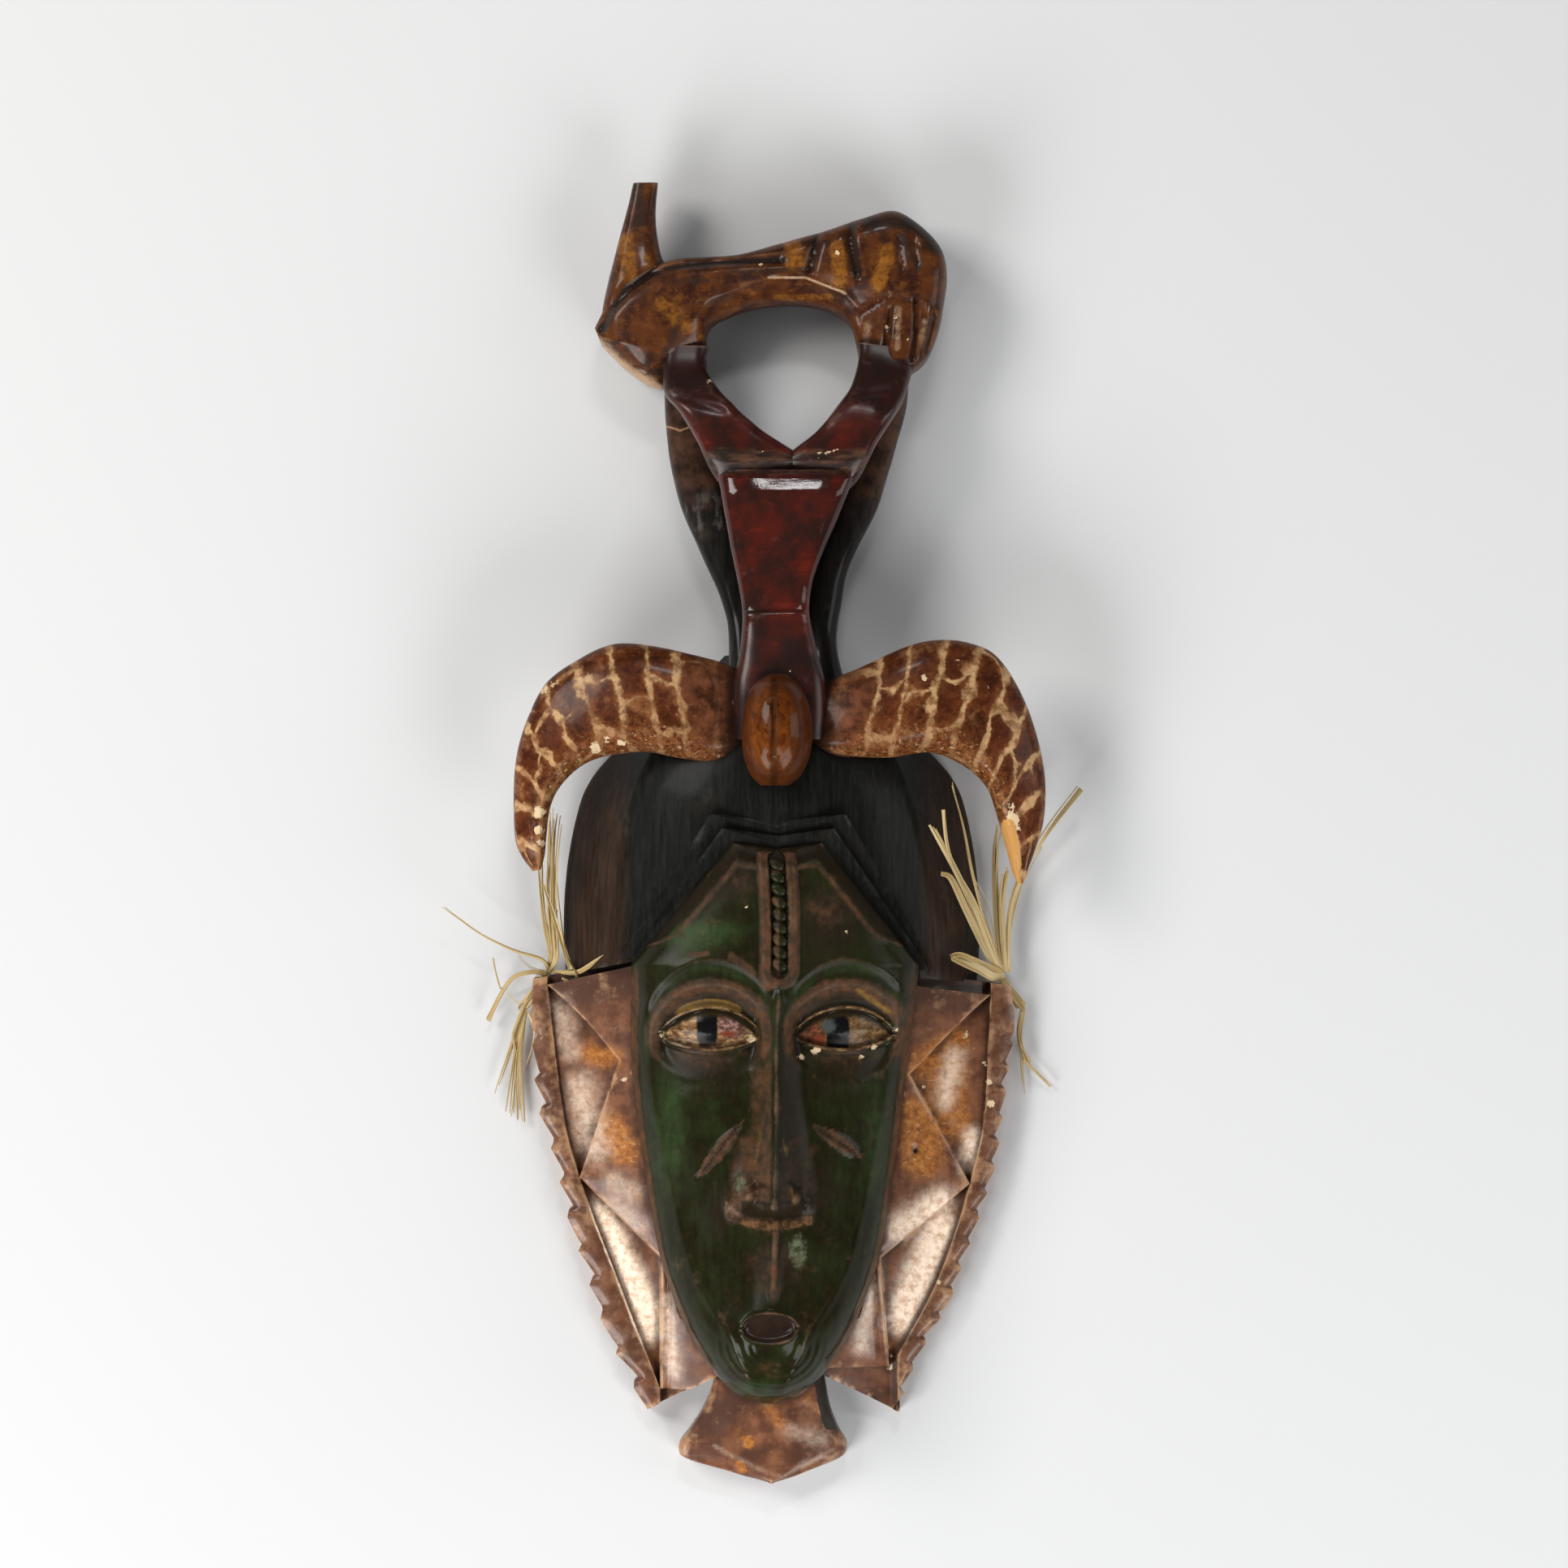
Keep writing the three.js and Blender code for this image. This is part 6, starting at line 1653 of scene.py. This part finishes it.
def horn_paint(paint):
    """Tan rings across the horn with a few links between them, over reddish-brown. It reads the uv: the
    length along the horn and the way round it."""
    flat = paint.carving()
    wobble = paint.value("ShaderNodeTexNoise", {"Vector": flat, "Scale": 0.07, "Detail": 2.0}, "Color")
    shift = paint.vector("SCALE", paint.vector("SUBTRACT", wobble, (0.5, 0.5, 0.5)), 9.0)
    ahead, round_, _ = paint.parts(paint.vector("ADD", flat, shift))
    fray = paint.noise(2.6, 4.0, 0.65, seed=2) - 0.5
    slant = ahead + round_ * -0.16 + 3.0
    number = paint.math("FLOOR", slant * (1 / RING_PITCH))
    across = round_ + paint.math("MODULO", number, 2.0) * 6.0 + paint.noise(12, 1.0, seed=12) * 10.0
    row = paint.math("FLOOR", (across + LINK_PITCH / 2) * (1 / LINK_PITCH))
    lot = paint.value("ShaderNodeCombineXYZ", {0: number, 1: row})
    chance = paint.value("ShaderNodeTexWhiteNoise", {0: lot}, "Value", noise_dimensions="3D")
    from_ring = paint.math("PINGPONG", slant, RING_PITCH / 2)
    from_link = paint.math("PINGPONG", across, LINK_PITCH / 2) + 0.35 + chance.step(0.5, 0.4, 1.4)
    near = paint.math("SMOOTH_MIN", from_ring, from_link, 1.6) + fray * 3.4
    line = (near - paint.noise(9, 2.0, seed=13).step(0.35, 0.65, 1.3)).step(1.35, 0.0)
    root = ahead.step(34, 24)
    inner = (round_ + fray * 14).step(43, 33)
    mottle = paint.noise(3.4, 4.0, 0.68, seed=5).step(0.34, 0.66)
    paint.colour = mottle.tint((0.068, 0.018, 0.0055), (0.13, 0.04, 0.011))
    paint.over(near.step(1.4, 4.2) * 0.8, mottle.tint((0.034, 0.0085, 0.0045), (0.074, 0.018, 0.0065)))
    paint.shade(0.72 + paint.noise(12, 3.0, 0.6, seed=14).step(0.35, 0.65, 0.5))
    plain = paint.noise(6, 4.0, 0.6, seed=7).step(0.3, 0.7)
    paint.over(root, plain.tint((0.035, 0.0105, 0.0055), (0.17, 0.058, 0.026)))
    under = paint.noise(2, 5.0, 0.75, seed=11).step(0.35, 0.65)
    paint.over(inner * 0.8, under.tint((0.032, 0.0085, 0.0035), (0.2, 0.07, 0.02)))
    tan = paint.noise(5, 4.0, 0.7, seed=6).step(0.35, 0.65).tint((0.17, 0.075, 0.028), (0.5, 0.31, 0.15))
    paint.over(line * (0.92 + root * -0.85) * (1.0 + inner * -0.6), tan)
    freckle = (paint.noise(2.1, 5.0, 0.75, seed=8) + inner * 0.05).step(0.62, 0.7)
    paint.over(freckle * (0.25 + inner * 0.6), (0.46, 0.3, 0.15))
    paint.over((ahead + fray * 14).step(20, 8, 0.75), (0.011, 0.0085, 0.007))
    paint.wear((0.3, 0.14, 0.06), (0.03, 0.013, 0.008))
    paint.over(paint.ragged("splinter", 2.0, 2.5, -0.2, 0.4, 10, (1, 4, 1)), (0.45, 0.23, 0.07))
    rough = 0.3 + freckle * 0.2 + paint.chip * 0.3 + line * 0.1
    paint.done(rough, line * -0.16 + paint.noise(2, 4.0, seed=9) * 0.1, 0.08, 0.1, 0.06)


def red_paint(paint):
    """Lacquer red with brighter strokes, nearly black at the knees, the waist and the crease of the hips."""
    cloud = paint.noise(13, 5.0, 0.6, (1, 1.3, 1), 1)
    strokes = paint.noise(3.0, 4.0, 0.65, (4, 1, 1), 2)
    paint.colour = cloud.step(0.36, 0.64).tint((0.02, 0.0075, 0.006), (0.055, 0.0085, 0.0055))
    paint.over((strokes + cloud * 0.8).step(0.94, 1.18, 0.7), (0.095, 0.012, 0.0065))
    up = paint.parts()[1]
    wavy = up + cloud * 30
    ends = wavy.step(178, 212, 0.95) + up.step(92, 76) * 0.5
    paint.over(ends * 0.85, (0.012, 0.006, 0.0045))
    fold = abs(up + cloud * 8 - 159.5).step(6.5, 3.0, 0.85)
    paint.over(fold, strokes.step(0.42, 0.66).tint((0.012, 0.007, 0.0045), (0.075, 0.035, 0.018)))
    paint.wear((0.15, 0.075, 0.06), (0.006, 0.0035, 0.0035), 0.1, 0.42)
    matte = wavy.step(165, 205, 0.22) + up.step(104, 76, 0.2) + fold * 0.3
    rough = 0.07 + matte + paint.ridge * 0.25 + strokes * 0.05 + paint.chip * 0.3
    paint.done(rough, strokes * 0.06 + cloud * 0.1, specular=0.28)


def ochre_paint(paint):
    """Orange with faint grain arcs about an upright line, darker at both ends, and with painted shade down
    one side, round its rim and in the slit along the line.
    """
    x, y, _ = paint.parts()
    arc, middle = abs(x + 0.4), abs(y - 44.0)
    cloud = paint.noise(6, 4.0, 0.6, seed=2)
    swirl = paint.math("PINGPONG", arc * 0.8 + middle * 0.4 + cloud * 14, 1.8)
    bands = (swirl + cloud * 1.2).step(0.4, 2.6)
    paint.colour = cloud.step(0.35, 0.65).tint((0.048, 0.0105, 0.002), (0.125, 0.031, 0.0032))
    paint.over(bands * 0.4, (0.16, 0.045, 0.0045))
    from_middle = arc * arc * 0.0075 + middle * middle * 0.0022
    # Darker at both ends, and painted shade down the right side and round the rim.
    dark = y.step(53, 64)
    for more in ((x + cloud * 8).step(7, 16), y.step(31, 24), (from_middle + cloud * 0.5).step(0.75, 1.25)):
        dark = paint.math("MAXIMUM", dark, more)
    paint.over(dark * 0.75, (0.04, 0.011, 0.004))
    # Painted shade in the slit along the upright line.
    paint.over(arc.step(2.4, 0.8) * 0.6, (0.02, 0.007, 0.003))
    paint.wear((0.17, 0.06, 0.015), (0.012, 0.006, 0.004), 0.14, 0.5)
    paint.done(0.24 + cloud * 0.1, bands * 0.05, 0.13, 0.1, 0.05)


def strap_paint(paint):
    """Black, turning brown towards the animal. The left strap has a tan ring and a worn grey patch."""
    x, y, _ = paint.parts()
    strokes = paint.noise(2.6, 4.0, 0.65, (1, 8, 1), 1)
    cloud = paint.noise(8, 5.0, 0.62, seed=2)
    paint.colour = strokes.step(0.3, 0.75).tint((0.006, 0.0055, 0.005), (0.016, 0.014, 0.012))
    brown = cloud.step(0.35, 0.65).tint((0.018, 0.0095, 0.006), (0.062, 0.028, 0.017))
    paint.over((y + cloud * 30).step(146, 172), brown)
    left = x.step(-18, -22)
    bow = abs(y - 170.5 + abs(x + 40) * -0.35)
    ring = (bow + paint.noise(2.0, 5.0, 0.7, seed=3) * 0.8).step(1.1, 0.6)
    paint.over(ring * left * 0.7, (0.3, 0.17, 0.09))
    patch = y.step(122, 130) * y.step(150, 140) * left
    grey = paint.noise(4, 4.0, 0.6, (1, 2.4, 1), 5).step(0.5, 0.7)
    paint.over(grey * patch * 0.5, (0.12, 0.11, 0.1))
    paint.wear((0.075, 0.05, 0.036), (0.008, 0.0065, 0.005), 0.1, 0.45)
    paint.done(0.32 + strokes * 0.12, strokes * 0.06, 0.14, 0.12, 0.06)


def tortoise_paint(paint):
    """Dark clouds over ochre, as on tortoise-shell."""
    cloud = paint.noise(9, 4.0, 0.55, (1, 1, 1), 1, 0.4)
    fine = paint.noise(2.6, 5.0, 0.7, seed=2)
    blotch = paint.noise(4.4, 4.0, 0.66, (1.4, 1, 1), 7).step(0.5, 0.68)
    speckle = paint.noise(2.4, 5.0, 0.72, seed=6).step(0.56, 0.7)
    paint.colour = cloud.step(0.36, 0.64).tint((0.025, 0.0078, 0.0045), (0.072, 0.0215, 0.006))
    paint.over(blotch * 0.6, (0.12, 0.038, 0.009))
    paint.over(speckle * 0.35, (0.18, 0.072, 0.015))
    ochre = fine.step(0.35, 0.7).tint((0.1, 0.033, 0.006), (0.23, 0.088, 0.013))
    paint.over(paint.ragged("gold", 1.3, 6, 0.35, 0.8, 3), ochre)
    black = paint.ragged("dark", 0.7, 5, 0.3, 0.8, 4)
    paint.over(black * 0.9, (0.018, 0.012, 0.009))
    # Pale patches, and a painted highlight along the edge of the opening.
    pale = fine.tint((0.2, 0.1, 0.05), (0.6, 0.43, 0.27))
    paint.over(paint.ragged("light", 0.7, 2.6, 0.3, 0.9, 5) * 0.85, pale)
    paint.wear((0.17, 0.08, 0.035), (0.01, 0.006, 0.0045), 0.12, 0.45)
    rough = 0.27 + fine * 0.18 + paint.chip * 0.3 + black * 0.1
    paint.done(rough, fine * 0.06, 0.16, 0.12, 0.08)


def back_wood(paint):
    """Bare wood, darkened by handling, with its grain along the mask."""
    grain = paint.noise(1.6, 5.0, 0.65, (1, 16, 1), 1, 0.4)
    cloud = paint.noise(14, 4.0, 0.55, (0.6, 3, 1), 2, 0.8)
    paint.colour = grain.step(0.3, 0.72).tint((0.055, 0.028, 0.014), (0.17, 0.095, 0.05))
    paint.over(cloud.step(0.4, 0.7, 0.6), (0.075, 0.036, 0.018))
    paint.wear((0.27, 0.17, 0.1), (0.03, 0.018, 0.01), 0.1, 0.45)
    paint.done(0.62 + grain * 0.2, grain * 0.12 + cloud * 0.1)


def dry_raffia(paint):
    """Pale split fibre: streaks along each strand, and each strand its own tone."""
    uv = paint.carving()
    number = paint.math("FLOOR", (paint.parts(uv)[1] + 5.0) * 0.05)
    tone = paint.value("ShaderNodeTexWhiteNoise", {"W": number}, "Value", noise_dimensions="1D")
    streak = paint.noise(0.5, 3.0, 0.6, (26, 1, 1), 1, 0.0, uv)
    spots = paint.noise(5, 4.0, 0.6, (3, 1, 1), 2, 0.0, uv)
    paint.colour = tone.tint((0.36, 0.25, 0.095), (0.56, 0.44, 0.23))
    paint.over(streak.step(0.5, 0.75, 0.7), (0.27, 0.165, 0.06))
    paint.over(spots.step(0.56, 0.72, 0.5), (0.4, 0.22, 0.07))
    paint.done(0.62, streak * 0.1, specular=0.35)


def floor_white(paint):
    """A plain pale floor."""
    paint.colour = (0.56, 0.565, 0.57, 1.0)
    paint.done(0.8, 0.0, specular=0.2)


def finishes():
    """Lays every finish. The material has the name of the function that lays it."""
    for lay in (
        face_paint, hair_paint, collar_stain, horn_paint, red_paint, ochre_paint, strap_paint, tortoise_paint,
        back_wood, dry_raffia, floor_white,
    ):
        lay(Finish(lay.__name__))


# Stage, light and camera, in metres

CAMERA_AT = (0.0038, 0.0214, 2.4)
FIELD_AT_FLOOR = 0.6683
SENSOR_WIDTH = 36.0
FLOOR_REACH = 4
ROOM_COLOUR = (0.9, 0.95, 1.0, 1)
ROOM_LIGHT = 0.07
WHITE = (1, 1, 1)
MIDDLE = (0, 0, 0.03)
# Name, place, size, watts, colour, and the point that it faces.
SOFTBOXES = [
    ("key", (-1.5, 0.9, 1.5), (0.9, 0.9), 36, (1, 0.97, 0.93), MIDDLE),
    ("top", (0.1, 1.56, 1.75), (0.5, 0.2), 9, WHITE, (0, 0.12, 0.05)),
    ("left_foot", (-1.3, -1.4, 1.2), (1.2, 1.0), 50, WHITE, MIDDLE),
    ("right_foot", (1.2, -1.5, 1.2), (1.2, 1.0), 32, WHITE, MIDDLE),
    ("right", (1.9, 0.2, 0.9), (0.9, 1.2), 11, WHITE, MIDDLE),
]


def softbox(name, at, size, watts, colour, aim):
    """An area light that faces a point of the mask."""
    light = bpy.data.lights.new(name, "AREA")
    light.shape = "RECTANGLE"
    light.size, light.size_y = size
    light.energy = watts
    light.color = colour
    made = add(name, light)
    made.location = at
    way = Vector(aim) - Vector(at)
    made.rotation_euler = way.to_track_quat("-Z", "Y").to_euler()


def stage():
    """The floor, the light of the room, five softboxes, and the camera straight above the mask."""
    floor = bpy.data.meshes.new("floor")
    corners = [(a * FLOOR_REACH, b * FLOOR_REACH, 0) for a, b in ((-1, -1), (1, -1), (1, 1), (-1, 1))]
    floor.from_pydata(corners, [], [(0, 1, 2, 3)])
    floor.materials.append(bpy.data.materials.new("floor_white"))
    add("floor", floor)
    world = bpy.data.worlds.new("room")
    world.use_nodes = True
    air = world.node_tree.nodes["Background"].inputs
    air["Color"].default_value = ROOM_COLOUR
    air["Strength"].default_value = ROOM_LIGHT
    bpy.context.scene.world = world
    for box in SOFTBOXES:
        softbox(*box)
    lens = bpy.data.cameras.new("camera")
    lens.sensor_width = SENSOR_WIDTH
    lens.lens = SENSOR_WIDTH * CAMERA_AT[2] / FIELD_AT_FLOOR
    camera = add("camera", lens)
    camera.location = CAMERA_AT
    bpy.context.scene.camera = camera
    bpy.context.scene.view_settings.view_transform = "Standard"


# Two faces that meet at more than this angle, in radians, keep a sharp edge between them.
SHARP_ANGLE = 0.62


def main():
    """Makes the carving and the two tufts, ties them to the frame, and sets the stage."""
    block = carved_block()
    drop_flaps(block.data)
    hand_carve(block.data)
    paint_attributes(block.data)
    block.data.shade_smooth()
    block.data.set_sharp_from_angle(angle=SHARP_ANGLE)
    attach(block, "root")
    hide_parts("carved_mask")
    for side, node in ((-1, "raffia_left"), (1, "raffia_right")):
        tuft = raffia(side)
        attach(tuft, "root")
        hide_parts(node)
    stage()
    finishes()


main()
